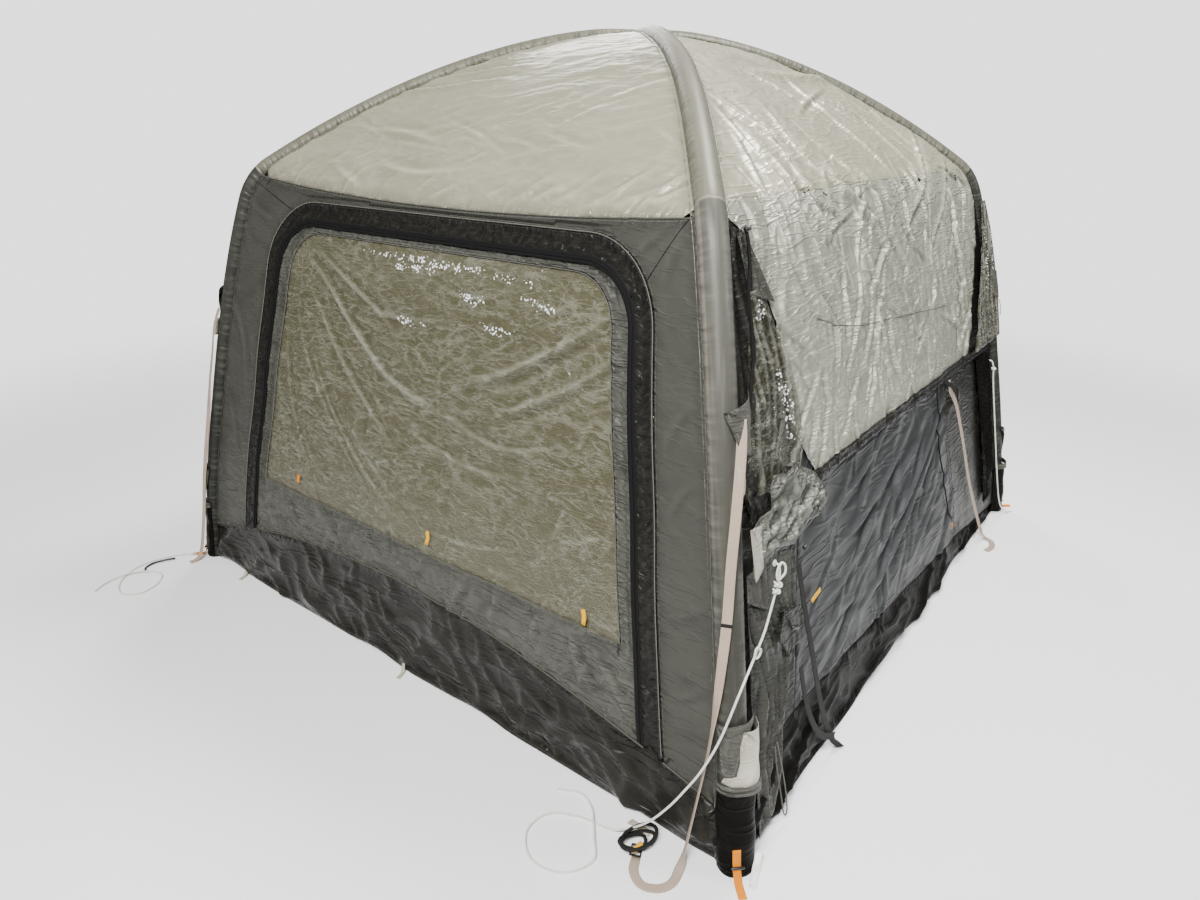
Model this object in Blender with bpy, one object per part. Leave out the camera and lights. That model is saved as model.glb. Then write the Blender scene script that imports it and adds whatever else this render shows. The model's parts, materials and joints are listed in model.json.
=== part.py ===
"""Inflatable drive-away awning, in metres, +Z up, origin on the ground at the centre of its footprint.

The front wall with the big window faces -Y, and the tunnel hangs down the wall that faces +X.
Every panel follows the line of the air beams: front and back panels are straight along X, and
left and right panels are straight along Y, so two neighbours always meet on the beam between them.
"""

import math

import bmesh
import bpy
import numpy as np
from mathutils import Vector

# Centre line of an air beam, in the quarter where x and y are positive
APEX_HEIGHT = 2.075
SHOULDER = (0.966, 1.078, 1.58)
FOOT = (1.290, 1.330, 0.0)
ROOF_POWER = 1.8
LEG_BOW = (0.031, 0.034)
LEG_BOW_POWER = 3
ROOF_ROWS = (0.20, 0.36, 0.52, 0.68, 0.83, 0.955)
SHOULDER_ROWS = (0.25, 0.50, 0.75)
LEG_ROWS = (0.05, 0.15, 0.30, 0.45, 0.60, 0.75, 0.88, 0.94)
PANEL_START = 0.085

# Beams and the cap where they cross
BEAM_RADIUS = 0.037
BEAM_SIDES = 16
CAP_SIDES = 24
CAP_HEIGHTS = (2.045, 2.112)

# Panels, as distances out from the beam's centre line
GAP = 0.0003
PANEL_INNER = 0.006
PANEL_OUTER = 0.014
ZIP_BAND_LAYER = (0.004, 0.018)
WINDOW_LAYER = (0.008, 0.012)
CURTAIN_LAYER = (0.0007, PANEL_INNER - GAP)
HEM_HEIGHT = 0.005

# Door, window and skirt seam of a window wall, across and up
WINDOW_WALL_CENTRE = 0.035
DOOR_HALF_WIDTH = 1.055
DOOR_LEAN = 0.175
DOOR_TOP = 1.505
DOOR_CORNER = 0.24
ZIP_BAND_WIDTH = 0.055
WINDOW_HALF_WIDTH = 0.960
WINDOW_LEAN = 0.19
WINDOW_TOP = 1.43
WINDOW_BOTTOM = 0.485
WINDOW_CORNER = 0.16
CURTAIN_MARGIN = 0.02
SKIRT_HEIGHT = 0.340
SKIRT_DROP = 0.117

# Door and skirt seam of the tunnel wall
TUNNEL_DOOR_CENTRE = -0.20
TUNNEL_DOOR_HALF_WIDTH = 0.840
TUNNEL_DOOR_LEAN = 0.22
TUNNEL_DOOR_TOP = 1.45
TUNNEL_DOOR_CORNER = 0.20
TUNNEL_SKIRT_HEIGHT = 0.190
TUNNEL_SKIRT_DROP = 0.040

# Tunnel hanging down the right wall, as outlines across (y) and up (z)
TUNNEL_NEAR_EDGE = ((-1.000, 1.640), (-1.000, 1.545), (-0.905, 1.360), (-0.880, 1.220),
                    (-0.890, 1.090), (-0.825, 0.975), (-0.762, 0.880))
TUNNEL_FAR_EDGE = ((0.800, 0.880), (0.865, 1.040), (0.935, 1.220), (1.015, 1.400),
                   (1.023, 1.545), (1.023, 1.640))
BEADING_OUTLINE = ((-0.775, 0.845), (1.100, 0.842), (1.100, 0.872), (0.800, 0.8797),
                   (-0.775, 0.8797))
NEAR_GUSSET = ((-1.030, 1.530), (-0.9935, 1.530), (-0.9056, 1.360), (-1.020, 1.392))
NEAR_WINDOW = ((-1.020, 1.3914), (-0.9056, 1.3594), (-0.8806, 1.220), (-0.8906, 1.0895),
               (-0.8300, 0.982), (-0.8450, 0.9555), (-1.055, 0.9555))
NEAR_FLAP = ((-1.000, 0.945), (-0.847, 0.894), (-0.753, 0.804), (-0.808, 0.766),
             (-0.960, 0.740), (-1.060, 0.741), (-1.150, 0.765), (-1.150, 0.850), (-1.040, 0.893))
NEAR_SIDE = ((-1.080, 0.735), (-0.920, 0.735), (-0.940, 0.585), (-0.980, 0.486),
             (-1.020, 0.330), (-1.070, 0.226), (-1.130, 0.170), (-1.165, 0.280),
             (-1.140, 0.400), (-1.100, 0.650))
FAR_WINDOW = ((0.8056, 0.885), (0.8656, 1.040), (0.9356, 1.220), (1.0156, 1.400),
              (1.0236, 1.470), (1.052, 1.470), (1.090, 1.250), (1.090, 0.885))
FAR_SIDE = ((0.880, 0.8415), (1.100, 0.8415), (1.150, 0.300), (1.130, 0.160),
            (1.020, 0.140), (0.950, 0.450))
TUNNEL_LAYER = (PANEL_OUTER + GAP, 0.0203)
BEADING_LAYER = (PANEL_OUTER + GAP, 0.0243)
BUNCHED_LAYER = (PANEL_OUTER + GAP, 0.044)
FAR_WINDOW_LAYER = (PANEL_OUTER + GAP, 0.064)

# Straps and lines
WEBBING_WIDTH = 0.025
WEBBING_THICKNESS = 0.002
STRAP_SPACING = 2.4 * WEBBING_WIDTH
LINE_DIAMETER = 0.006
PEG_STRAP_WIDTH = 0.022
PEG_STRAP_TOP = 0.090
PEG_STRAP_REACH = 0.060

NEAR_STRAP_ROUTE = (
    (1.1196, -1.1644, 1.150), (1.138, -1.186, 1.090), (1.160, -1.225, 0.974), (1.180, -1.263, 0.838),
    (1.198, -1.294, 0.697), (1.207, -1.324, 0.547), (1.201, -1.330, 0.400), (1.198, -1.348, 0.294),
    (1.193, -1.368, 0.193), (1.189, -1.388, 0.104), (1.188, -1.406, 0.040), (1.190, -1.432, 0.008),
    (1.196, -1.470, 0.004), (1.180, -1.504, 0.004), (1.140, -1.524, 0.004), (1.100, -1.505, 0.004),
    (1.080, -1.466, 0.004))
STRAP_ROUTE = (
    (1.1041, 1.2242, 1.100), (1.126, 1.245, 1.030), (1.146, 1.262, 0.920), (1.166, 1.281, 0.811),
    (1.186, 1.309, 0.645), (1.212, 1.329, 0.512), (1.240, 1.346, 0.380), (1.262, 1.362, 0.240),
    (1.280, 1.380, 0.120), (1.288, 1.396, 0.045), (1.292, 1.418, 0.008), (1.296, 1.448, 0.004))
FAR_TUNNEL_STRAP_ROUTE = (
    (1.1675, 0.525, 0.8398), (1.177, 0.527, 0.800), (1.198, 0.590, 0.719), (1.232, 0.668, 0.549),
    (1.272, 0.754, 0.339), (1.305, 0.866, 0.156), (1.330, 0.925, 0.050), (1.352, 0.950, 0.008),
    (1.380, 0.935, 0.004), (1.395, 0.885, 0.004), (1.385, 0.830, 0.004))
NEAR_TUNNEL_STRAP_ROUTE = (
    (1.2241, -0.960, 0.700), (1.2515, -0.956, 0.585), (1.284, -0.930, 0.420), (1.303, -0.880, 0.250),
    (1.318, -0.820, 0.110), (1.330, -0.775, 0.035), (1.342, -0.740, 0.006))
NEAR_LINE_ROUTE = (
    (1.2124, -1.085, 0.760), (1.225, -1.087, 0.756), (1.232, -1.098, 0.725), (1.234, -1.122, 0.680),
    (1.241, -1.172, 0.616), (1.252, -1.240, 0.585), (1.267, -1.336, 0.545), (1.240, -1.362, 0.411),
    (1.206, -1.376, 0.308), (1.171, -1.386, 0.232), (1.126, -1.396, 0.148), (1.078, -1.409, 0.078),
    (1.027, -1.421, 0.030), (0.974, -1.439, 0.006), (0.890, -1.455, 0.004), (0.810, -1.500, 0.004),
    (0.800, -1.580, 0.004), (0.870, -1.640, 0.004), (0.960, -1.620, 0.004), (1.000, -1.545, 0.005),
    (0.960, -1.490, 0.010), (0.925, -1.449, 0.0125), (0.893, -1.415, 0.008), (0.835, -1.390, 0.004),
    (0.770, -1.420, 0.004))
LEFT_LINE_ROUTE = (
    (-1.3590, -1.4013, 0.0035), (-1.380, -1.425, 0.004), (-1.408, -1.470, 0.004),
    (-1.430, -1.540, 0.004), (-1.425, -1.620, 0.004), (-1.370, -1.700, 0.004),
    (-1.280, -1.740, 0.004), (-1.215, -1.700, 0.004), (-1.230, -1.620, 0.004),
    (-1.300, -1.570, 0.004), (-1.365, -1.610, 0.009), (-1.392, -1.675, 0.0125),
    (-1.400, -1.740, 0.006), (-1.370, -1.800, 0.004))
FAR_LINE_ROUTE = (
    (1.2010, 1.030, 0.815), (1.213, 1.031, 0.812), (1.223, 1.036, 0.780), (1.234, 1.050, 0.700),
    (1.281, 1.085, 0.450), (1.314, 1.135, 0.250), (1.336, 1.225, 0.080), (1.360, 1.290, 0.015),
    (1.382, 1.330, 0.004))
BUCKLE_SIZE = (0.040, 0.034, 0.010)

SIDES = ("front", "right", "back", "left")
CORNERS = {"front_left": (-1, -1), "front_right": (1, -1), "back_right": (1, 1), "back_left": (-1, 1)}

COLOURS = {
    "roof": ((0.50, 0.49, 0.40), 0.45, 0.0),
    "wall": ((0.115, 0.118, 0.108), 0.60, 0.0),
    "sleeve": ((0.25, 0.24, 0.215), 0.60, 0.0),
    "skirt": ((0.014, 0.013, 0.011), 0.40, 0.0),
    "zip": ((0.016, 0.016, 0.015), 0.50, 0.0),
    "window": ((0.35, 0.36, 0.26), 0.15, 0.0),
    "curtain": ((0.21, 0.20, 0.145), 0.85, 0.0),
    "slate": ((0.042, 0.050, 0.058), 0.60, 0.0),
    "tunnel": ((0.38, 0.38, 0.34), 0.45, 0.0),
    "webbing": ((0.48, 0.39, 0.32), 0.80, 0.0),
    "dark_webbing": ((0.03, 0.03, 0.03), 0.80, 0.0),
    "orange": ((0.70, 0.26, 0.012), 0.60, 0.0),
    "yellow": ((0.80, 0.47, 0.03), 0.40, 0.0),
    "line": ((0.78, 0.78, 0.76), 0.70, 0.0),
}


def clear_scene():
    for obj in list(bpy.data.objects):
        bpy.data.objects.remove(obj, do_unlink=True)


def material(name):
    if name in bpy.data.materials:
        return bpy.data.materials[name]
    colour, roughness, metallic = COLOURS[name]
    made = bpy.data.materials.new(name)
    made.use_nodes = True
    shader = made.node_tree.nodes["Principled BSDF"]
    shader.inputs["Base Color"].default_value = (*colour, 1.0)
    shader.inputs["Roughness"].default_value = roughness
    shader.inputs["Metallic"].default_value = metallic
    return made


def add_object(name, mesh, finish):
    obj = bpy.data.objects.new(name, mesh)
    bpy.context.scene.collection.objects.link(obj)
    if finish:
        mesh.materials.append(material(finish))
    return obj


def closed_mesh(name, points, faces):
    """A mesh with its faces turned outward."""
    shape = bmesh.new()
    corners = [shape.verts.new(point) for point in points]
    for face in faces:
        shape.faces.new([corners[index] for index in face])
    bmesh.ops.recalc_face_normals(shape, faces=shape.faces[:])
    mesh = bpy.data.meshes.new(name)
    shape.to_mesh(mesh)
    shape.free()
    return mesh


def loft(name, rings, finish):
    """A closed solid through equal rings of points, capped at both ends."""
    count = len(rings[0])
    points = [point for ring in rings for point in ring]
    faces = [list(range(count)), [len(points) - count + index for index in range(count)]]
    for row in range(len(rings) - 1):
        for index in range(count):
            following = (index + 1) % count
            first = row * count
            second = first + count
            faces.append([first + index, first + following, second + following, second + index])
    return add_object(name, closed_mesh(name, points, faces), finish)


# The line of the beams

def roof_point(t):
    fall = (APEX_HEIGHT - SHOULDER[2]) * t ** ROOF_POWER
    return Vector((SHOULDER[0] * t, SHOULDER[1] * t, APEX_HEIGHT - fall))


def leg_point(s):
    bow = 1 - abs(2 * s - 1) ** LEG_BOW_POWER
    point = Vector(SHOULDER).lerp(Vector(FOOT), s)
    return point + Vector((LEG_BOW[0] * bow, LEG_BOW[1] * bow, 0))


def shoulder_point(u):
    """The bend between roof and leg, as a quadratic Bezier curve."""
    start = roof_point(ROOF_ROWS[-1])
    end = leg_point(LEG_ROWS[0])
    return start * (1 - u) ** 2 + Vector(SHOULDER) * 2 * u * (1 - u) + end * u ** 2


ARM_ROWS = [roof_point(t) for t in ROOF_ROWS] + [shoulder_point(u) for u in SHOULDER_ROWS[:2]]
LOWER_ROWS = [shoulder_point(u) for u in SHOULDER_ROWS[1:]] + [leg_point(s) for s in LEG_ROWS]
ROOF_LINE = [roof_point(PANEL_START)] + ARM_ROWS
WALL_LINE = LOWER_ROWS + [leg_point(1 - HEM_HEIGHT / SHOULDER[2])]
LEG_LINE = LOWER_ROWS + [leg_point(1)]
BEAM_LINE = np.array([tuple(point) for point in [roof_point(0)] + ROOF_LINE + LEG_LINE[1:]])


def distance_to_beam(point):
    starts = BEAM_LINE[:-1]
    runs = BEAM_LINE[1:] - starts
    along = ((point - starts) * runs).sum(axis=1) / (runs * runs).sum(axis=1)
    nearest = starts + runs * np.clip(along, 0, 1)[:, None]
    return np.linalg.norm(nearest - point, axis=1).min()


# Panels, in each side's own frame: across to the right as seen from outside, out, and up

def placed(side, across, out, up):
    return {
        "front": (across, -out, up),
        "right": (out, across, up),
        "back": (-across, out, up),
        "left": (-out, -across, up),
    }[side]


def out_axis(side):
    return 1 if side in ("front", "back") else 0


def offset_line(side, line, offset):
    """The beam line seen from one side, as (half width, out, up), moved out by an offset."""
    axis = out_axis(side)
    profile = [(point[axis], point[2]) for point in line]
    moved = []
    for row, (out, up) in enumerate(profile):
        before = profile[max(row - 1, 0)]
        after = profile[min(row + 1, len(profile) - 1)]
        run = Vector((after[0] - before[0], after[1] - before[1])).normalized()
        normal = Vector((-run.y, run.x))
        if up < SHOULDER[2] / 10:
            normal = Vector((1, 0))
        moved.append((line[row][1 - axis], out + normal.x * offset, up + normal.y * offset))
    return moved


def half_width(side, reach, out, up):
    """How far across a row may run before it meets the beam."""
    clear = BEAM_RADIUS + 2 * GAP
    low, high = 0.0, 0.15
    for _ in range(30):
        middle = (low + high) / 2
        across = reach - middle
        point = (across, out, up) if out_axis(side) == 1 else (out, across, up)
        if distance_to_beam(np.array(point)) < clear:
            low = middle
        else:
            high = middle
    return reach - high


def shell(name, side, line, layer, finish):
    """A panel between two beams, its thickness running over the layer's two offsets."""
    rings = []
    inner = offset_line(side, line, layer[0])
    outer = offset_line(side, line, layer[1])
    for near, far in zip(inner, outer):
        ring = []
        for (reach, out, up), order in ((far, (-1, 1)), (near, (1, -1))):
            half = half_width(side, reach, out, up)
            ring += [placed(side, half * sign, out, up) for sign in order]
        rings.append(ring)
    return loft(name, rings, finish)


def cutter(name, side, outline):
    """A prism across the wall, in no render, that cuts or keeps part of a panel."""
    nearest, farthest = 0.5, 1.8
    rings = [[placed(side, across, out, up) for across, up in outline] for out in (nearest, farthest)]
    made = loft(name, rings, None)
    made.hide_render = True
    made.display_type = "WIRE"
    return made


def boolean(obj, operation, tool):
    step = obj.modifiers.new(operation.lower() + " " + tool.name, "BOOLEAN")
    step.operation = operation
    step.solver = "EXACT"
    step.object = tool
    return obj


def arch(centre, half, lean, top, corner, inset=0.0, bottom=-0.05):
    """A door outline: leaning sides and round top corners, moved inward by an inset."""
    slant = math.hypot(1, lean)
    half_in = half - inset * slant
    top_in = top - inset
    radius = corner - inset
    corner_up = top_in - radius
    corner_across = half_in - lean * corner_up - radius * slant
    right = [(half_in - lean * bottom, bottom)]
    start = math.atan(lean)
    steps = 6
    for step in range(steps + 1):
        angle = start + (math.pi / 2 - start) * step / steps
        right.append((corner_across + radius * math.cos(angle), corner_up + radius * math.sin(angle)))
    left = [(-across, up) for across, up in reversed(right)]
    return [(centre + across, up) for across, up in right + left]


def below_seam(height, drop, lower=0.0):
    """The outline of everything below the curved seam over the mud skirt."""
    reach, steps = 1.45, 10
    seam = []
    for step in range(steps + 1):
        across = reach * (1 - 2 * step / steps)
        seam.append((across, height - drop * across ** 2 - lower))
    return [(-reach, -0.10), (reach, -0.10)] + seam


# Frame

def beam_rings(line, upright_start, flat_end):
    """Rings round a beam whose corner points lie toward the two walls it carries."""
    rings = []
    for row, centre in enumerate(line):
        run = (line[min(row + 1, len(line) - 1)] - line[max(row - 1, 0)]).normalized()
        if upright_start and row == 0:
            run = Vector((run.x, run.y, 0)).normalized()
        side = run.cross(Vector((0, 0, 1))).normalized()
        rise = side.cross(run).normalized()
        ring = []
        for step in range(BEAM_SIDES):
            angle = 2 * math.pi * step / BEAM_SIDES
            point = centre + (side * math.cos(angle) + rise * math.sin(angle)) * BEAM_RADIUS
            if flat_end and row == len(line) - 1:
                point = point + run * ((centre.z - point.z) / run.z)
            ring.append(point)
        rings.append(ring)
    return rings


def mirrored(ring, corner):
    return [(point[0] * corner[0], point[1] * corner[1], point[2]) for point in ring]


def cap_radii():
    """Half sizes of the cap, just inside the tips of the four roof panels."""
    tip = ROOF_LINE[:2]
    return [offset_line(side, tip, PANEL_INNER)[0][1] - GAP for side in ("right", "front")]


def build_cap():
    radii = cap_radii()
    rings = []
    for height, share in ((CAP_HEIGHTS[0], 1), (CAP_HEIGHTS[1] - 0.012, 1), (CAP_HEIGHTS[1], 0.8)):
        angles = [2 * math.pi * step / CAP_SIDES for step in range(CAP_SIDES)]
        rings.append([(radii[0] * share * math.cos(angle), radii[1] * share * math.sin(angle), height)
                      for angle in angles])
    loft("apex_cap", rings, "sleeve")


def arm_start():
    """Where an arm begins: the plane across it that just clears the cap."""
    radii = cap_radii()
    way = Vector(SHOULDER).xy.normalized()
    reach = math.hypot(radii[0] * way.x, radii[1] * way.y) + GAP
    return reach / Vector(SHOULDER).xy.length


def build_beams():
    arm_line = [roof_point(arm_start())] + ROOF_LINE
    arm = beam_rings(arm_line, True, False)
    leg = beam_rings(LEG_LINE, False, True)
    joint = (LEG_LINE[1] - LEG_LINE[0]).normalized() * GAP
    leg[0] = [point + joint for point in arm[-1]]
    for name, corner in CORNERS.items():
        loft("roof_beam_" + name, [mirrored(ring, corner) for ring in arm], "sleeve")
        loft("leg_beam_" + name, [mirrored(ring, corner) for ring in leg], "sleeve")


# Roof and walls

def build_roof():
    for side in SIDES:
        shell("roof_" + side, side, ROOF_LINE, (PANEL_INNER, PANEL_OUTER), "roof")


def wall_line():
    """The wall's rows, the first one a gap below the roof's last."""
    top = WALL_LINE[0] + (WALL_LINE[1] - WALL_LINE[0]).normalized() * GAP
    return [top] + WALL_LINE[1:]


def wall_piece(name, side, layer, finish, keep=(), remove=()):
    piece = shell(name, side, wall_line(), layer, finish)
    for tool in keep:
        boolean(piece, "INTERSECT", tool)
    for tool in remove:
        boolean(piece, "DIFFERENCE", tool)
    return piece


def door_outline(inset=0.0):
    return arch(WINDOW_WALL_CENTRE, DOOR_HALF_WIDTH, DOOR_LEAN, DOOR_TOP, DOOR_CORNER, inset)


def window_outline(inset=0.0):
    return arch(WINDOW_WALL_CENTRE, WINDOW_HALF_WIDTH, WINDOW_LEAN, WINDOW_TOP, WINDOW_CORNER,
                inset, WINDOW_BOTTOM + inset)


def build_window_wall(side, with_band):
    layer = (PANEL_INNER, PANEL_OUTER)
    skirt = cutter(side + "_skirt_region", side, below_seam(SKIRT_HEIGHT, SKIRT_DROP))
    skirt_kept = cutter(side + "_skirt_kept", side, below_seam(SKIRT_HEIGHT, SKIRT_DROP, GAP))
    door = cutter(side + "_door_region", side, door_outline())
    window = cutter(side + "_window_region", side, window_outline())
    window_kept = cutter(side + "_window_kept", side, window_outline(GAP))
    wall_piece(side + "_wall_surround", side, layer, "wall", remove=(door, skirt))
    panel_inset = GAP
    if with_band:
        panel_inset = ZIP_BAND_WIDTH + GAP
        band_outer = cutter(side + "_band_outer", side, door_outline(GAP))
        band_inner = cutter(side + "_band_inner", side, door_outline(ZIP_BAND_WIDTH))
        wall_piece(side + "_zip_band", side, ZIP_BAND_LAYER, "zip", keep=(band_outer,),
                   remove=(band_inner, skirt))
        curtain = cutter(side + "_curtain_kept", side, window_outline(-CURTAIN_MARGIN))
        wall_piece(side + "_curtain", side, CURTAIN_LAYER, "curtain", keep=(curtain,))
    panel = cutter(side + "_panel_kept", side, door_outline(panel_inset))
    wall_piece(side + "_door_panel", side, layer, "wall", keep=(panel,), remove=(window, skirt))
    wall_piece(side + "_window", side, WINDOW_LAYER, "window", keep=(window_kept,))
    wall_piece(side + "_skirt", side, layer, "skirt", keep=(skirt_kept,))


def build_tunnel_wall():
    side = "right"
    layer = (PANEL_INNER, PANEL_OUTER)
    seam = (TUNNEL_SKIRT_HEIGHT, TUNNEL_SKIRT_DROP)
    shape = (TUNNEL_DOOR_CENTRE, TUNNEL_DOOR_HALF_WIDTH, TUNNEL_DOOR_LEAN, TUNNEL_DOOR_TOP,
             TUNNEL_DOOR_CORNER)
    skirt = cutter("right_skirt_region", side, below_seam(*seam))
    skirt_kept = cutter("right_skirt_kept", side, below_seam(*seam, GAP))
    door = cutter("right_door_region", side, arch(*shape))
    door_kept = cutter("right_door_kept", side, arch(*shape, GAP))
    wall_piece("right_wall_surround", side, layer, "wall", remove=(door, skirt))
    wall_piece("right_door_panel", side, layer, "slate", keep=(door_kept,), remove=(skirt,))
    wall_piece("right_skirt", side, layer, "skirt", keep=(skirt_kept,))


def build_tunnel():
    pieces = (
        ("tunnel_roof", TUNNEL_NEAR_EDGE + TUNNEL_FAR_EDGE, TUNNEL_LAYER, "tunnel"),
        ("tunnel_beading_strip", BEADING_OUTLINE, BEADING_LAYER, "zip"),
        ("tunnel_near_gusset", NEAR_GUSSET, BUNCHED_LAYER, "wall"),
        ("tunnel_near_window", NEAR_WINDOW, BUNCHED_LAYER, "window"),
        ("tunnel_near_flap", NEAR_FLAP, BUNCHED_LAYER, "tunnel"),
        ("tunnel_near_side", NEAR_SIDE, BUNCHED_LAYER, "wall"),
        ("tunnel_far_window", FAR_WINDOW, FAR_WINDOW_LAYER, "window"),
        ("tunnel_far_side", FAR_SIDE, BUNCHED_LAYER, "skirt"),
    )
    for name, outline, layer, finish in pieces:
        region = cutter(name + "_region", "right", outline)
        wall_piece(name, "right", layer, finish, keep=(region,))


# Straps and lines

def smooth_route(route, spacing):
    """Points at an even spacing along a Catmull-Rom curve through a route."""
    points = [Vector(point) for point in route]
    points = [points[0] * 2 - points[1]] + points + [points[-1] * 2 - points[-2]]
    fine = []
    per_span = 24
    for index in range(1, len(points) - 2):
        a, b, c, d = points[index - 1:index + 3]
        for step in range(per_span):
            t = step / per_span
            fine.append((b * 2 + (c - a) * t + (a * 2 - b * 5 + c * 4 - d) * t * t
                         + (b * 3 - a - c * 3 + d) * t ** 3) / 2)
    fine.append(points[-2])
    lengths = [0.0]
    for one, two in zip(fine, fine[1:]):
        lengths.append(lengths[-1] + (two - one).length)
    count = round(lengths[-1] / spacing)
    even = []
    for step in range(count + 1):
        wanted = lengths[-1] * step / count
        at = min(int(np.searchsorted(lengths, wanted, side="right")) - 1, len(fine) - 2)
        share = (wanted - lengths[at]) / (lengths[at + 1] - lengths[at])
        even.append(fine[at].lerp(fine[at + 1], share))
    return even


def off_leg(point):
    """The level way from the nearest leg's centre line out to a point."""
    leg = leg_point(1 - point.z / SHOULDER[2])
    centre = Vector((math.copysign(leg.x, point.x), math.copysign(leg.y, point.y)))
    return (point.xy - centre).normalized().to_3d()


def off_right_wall(point):
    return Vector((1, 0, 0))


def strap_facing(point, run, away):
    """The way a strap's flat side looks: away from its seat while it hangs, up once it lies."""
    lying_below = 0.05
    upright = min(max((point.z - 2 * WEBBING_THICKNESS) / lying_below, 0), 1)
    facing = away(point) * upright + Vector((0, 0, 1)) * (1 - upright)
    return (facing - run * facing.dot(run)).normalized()


def ribbon(name, points, width, thickness, away, finish):
    rings = []
    for row, point in enumerate(points):
        run = (points[min(row + 1, len(points) - 1)] - points[max(row - 1, 0)]).normalized()
        up = strap_facing(point, run, away) * (thickness / 2)
        across = run.cross(up).normalized() * (width / 2)
        rings.append([point + across + up, point - across + up, point - across - up,
                      point + across - up])
    return loft(name, rings, finish)


def line_curve(name, route):
    points = smooth_route(route, 4 * LINE_DIAMETER)
    curve = bpy.data.curves.new(name, "CURVE")
    curve.dimensions = "3D"
    curve.bevel_depth = LINE_DIAMETER / 2
    curve.bevel_resolution = 2
    curve.use_fill_caps = True
    spline = curve.splines.new("POLY")
    spline.points.add(len(points) - 1)
    for place, point in zip(spline.points, points):
        place.co = (*point, 1)
    curve.materials.append(material("line"))
    obj = bpy.data.objects.new(name, curve)
    bpy.context.scene.collection.objects.link(obj)
    return obj


def build_straps():
    size = (WEBBING_WIDTH, WEBBING_THICKNESS)
    routes = {
        "storm_strap_front_right": (NEAR_STRAP_ROUTE, off_leg, "webbing"),
        "tunnel_strap_far": (FAR_TUNNEL_STRAP_ROUTE, off_right_wall, "webbing"),
        "tunnel_strap_near": (NEAR_TUNNEL_STRAP_ROUTE, off_right_wall, "dark_webbing"),
    }
    for name, corner in CORNERS.items():
        if name != "front_right":
            routes["storm_strap_" + name] = (mirrored(STRAP_ROUTE, corner), off_leg, "webbing")
    for name, (route, away, finish) in routes.items():
        ribbon(name, smooth_route(route, STRAP_SPACING), *size, away, finish)


def build_peg_straps():
    """A short strap down the outside of each foot and out over the ground."""
    out = Vector(FOOT).xy.normalized()
    rest = PEG_STRAP_TOP / 3
    for name, corner in CORNERS.items():
        route = []
        for up, reach in ((PEG_STRAP_TOP, 0.0), (2 * rest, 0.0), (rest, 0.003), (0.012, 0.010),
                          (0.003, 0.022), (0.003, PEG_STRAP_REACH)):
            centre = leg_point(1 - up / SHOULDER[2])
            away = BEAM_RADIUS + WEBBING_THICKNESS / 2 + 2 * GAP + reach
            route.append((centre.x + out.x * away, centre.y + out.y * away, up))
        points = smooth_route(mirrored(route, corner), PEG_STRAP_WIDTH / 2)
        ribbon("peg_strap_" + name, points, PEG_STRAP_WIDTH, WEBBING_THICKNESS, off_leg, "orange")


def build_lines():
    line_curve("guy_line_near", NEAR_LINE_ROUTE)
    line_curve("guy_line_left", LEFT_LINE_ROUTE)
    line_curve("guy_line_far", FAR_LINE_ROUTE)


def build_buckle():
    """The ladder buckle on the loose end of the near storm strap."""
    before, end = smooth_route(NEAR_STRAP_ROUTE, STRAP_SPACING)[-2:]
    way = (end - before).normalized()
    across = Vector((-way.y, way.x, 0))
    length, width, height = BUCKLE_SIZE
    start = end + way * GAP
    rings = []
    for along in (0, length):
        centre = start + way * along
        rings.append([(*(centre + across * side * width / 2).xy, up)
                      for side, up in ((-1, 0.001), (1, 0.001), (1, height), (-1, height))])
    loft("strap_buckle", rings, "yellow")


def build():
    clear_scene()
    build_cap()
    build_beams()
    build_roof()
    build_window_wall("front", True)
    build_window_wall("back", False)
    build_window_wall("left", False)
    build_tunnel_wall()
    build_tunnel()
    build_straps()
    build_peg_straps()
    build_lines()
    build_buckle()


build()
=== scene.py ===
"""Inflatable drive-away awning: the finish of every piece, in metres, +Z up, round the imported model.

Each panel of cloth is cut as an outline in its side's flat pattern, measured across the side and down the
path from the apex, filled with a fine net of triangles and bent onto the line of the air beams. Its folds
are ridges along routes in that pattern, with creased noise between them.
"""

import json
import math

import bpy
import numpy as np
from bpy.props import FloatProperty, FloatVectorProperty, PointerProperty
from mathutils import Matrix, Vector
from mathutils.geometry import delaunay_2d_cdt
from mathutils.kdtree import KDTree

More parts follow.
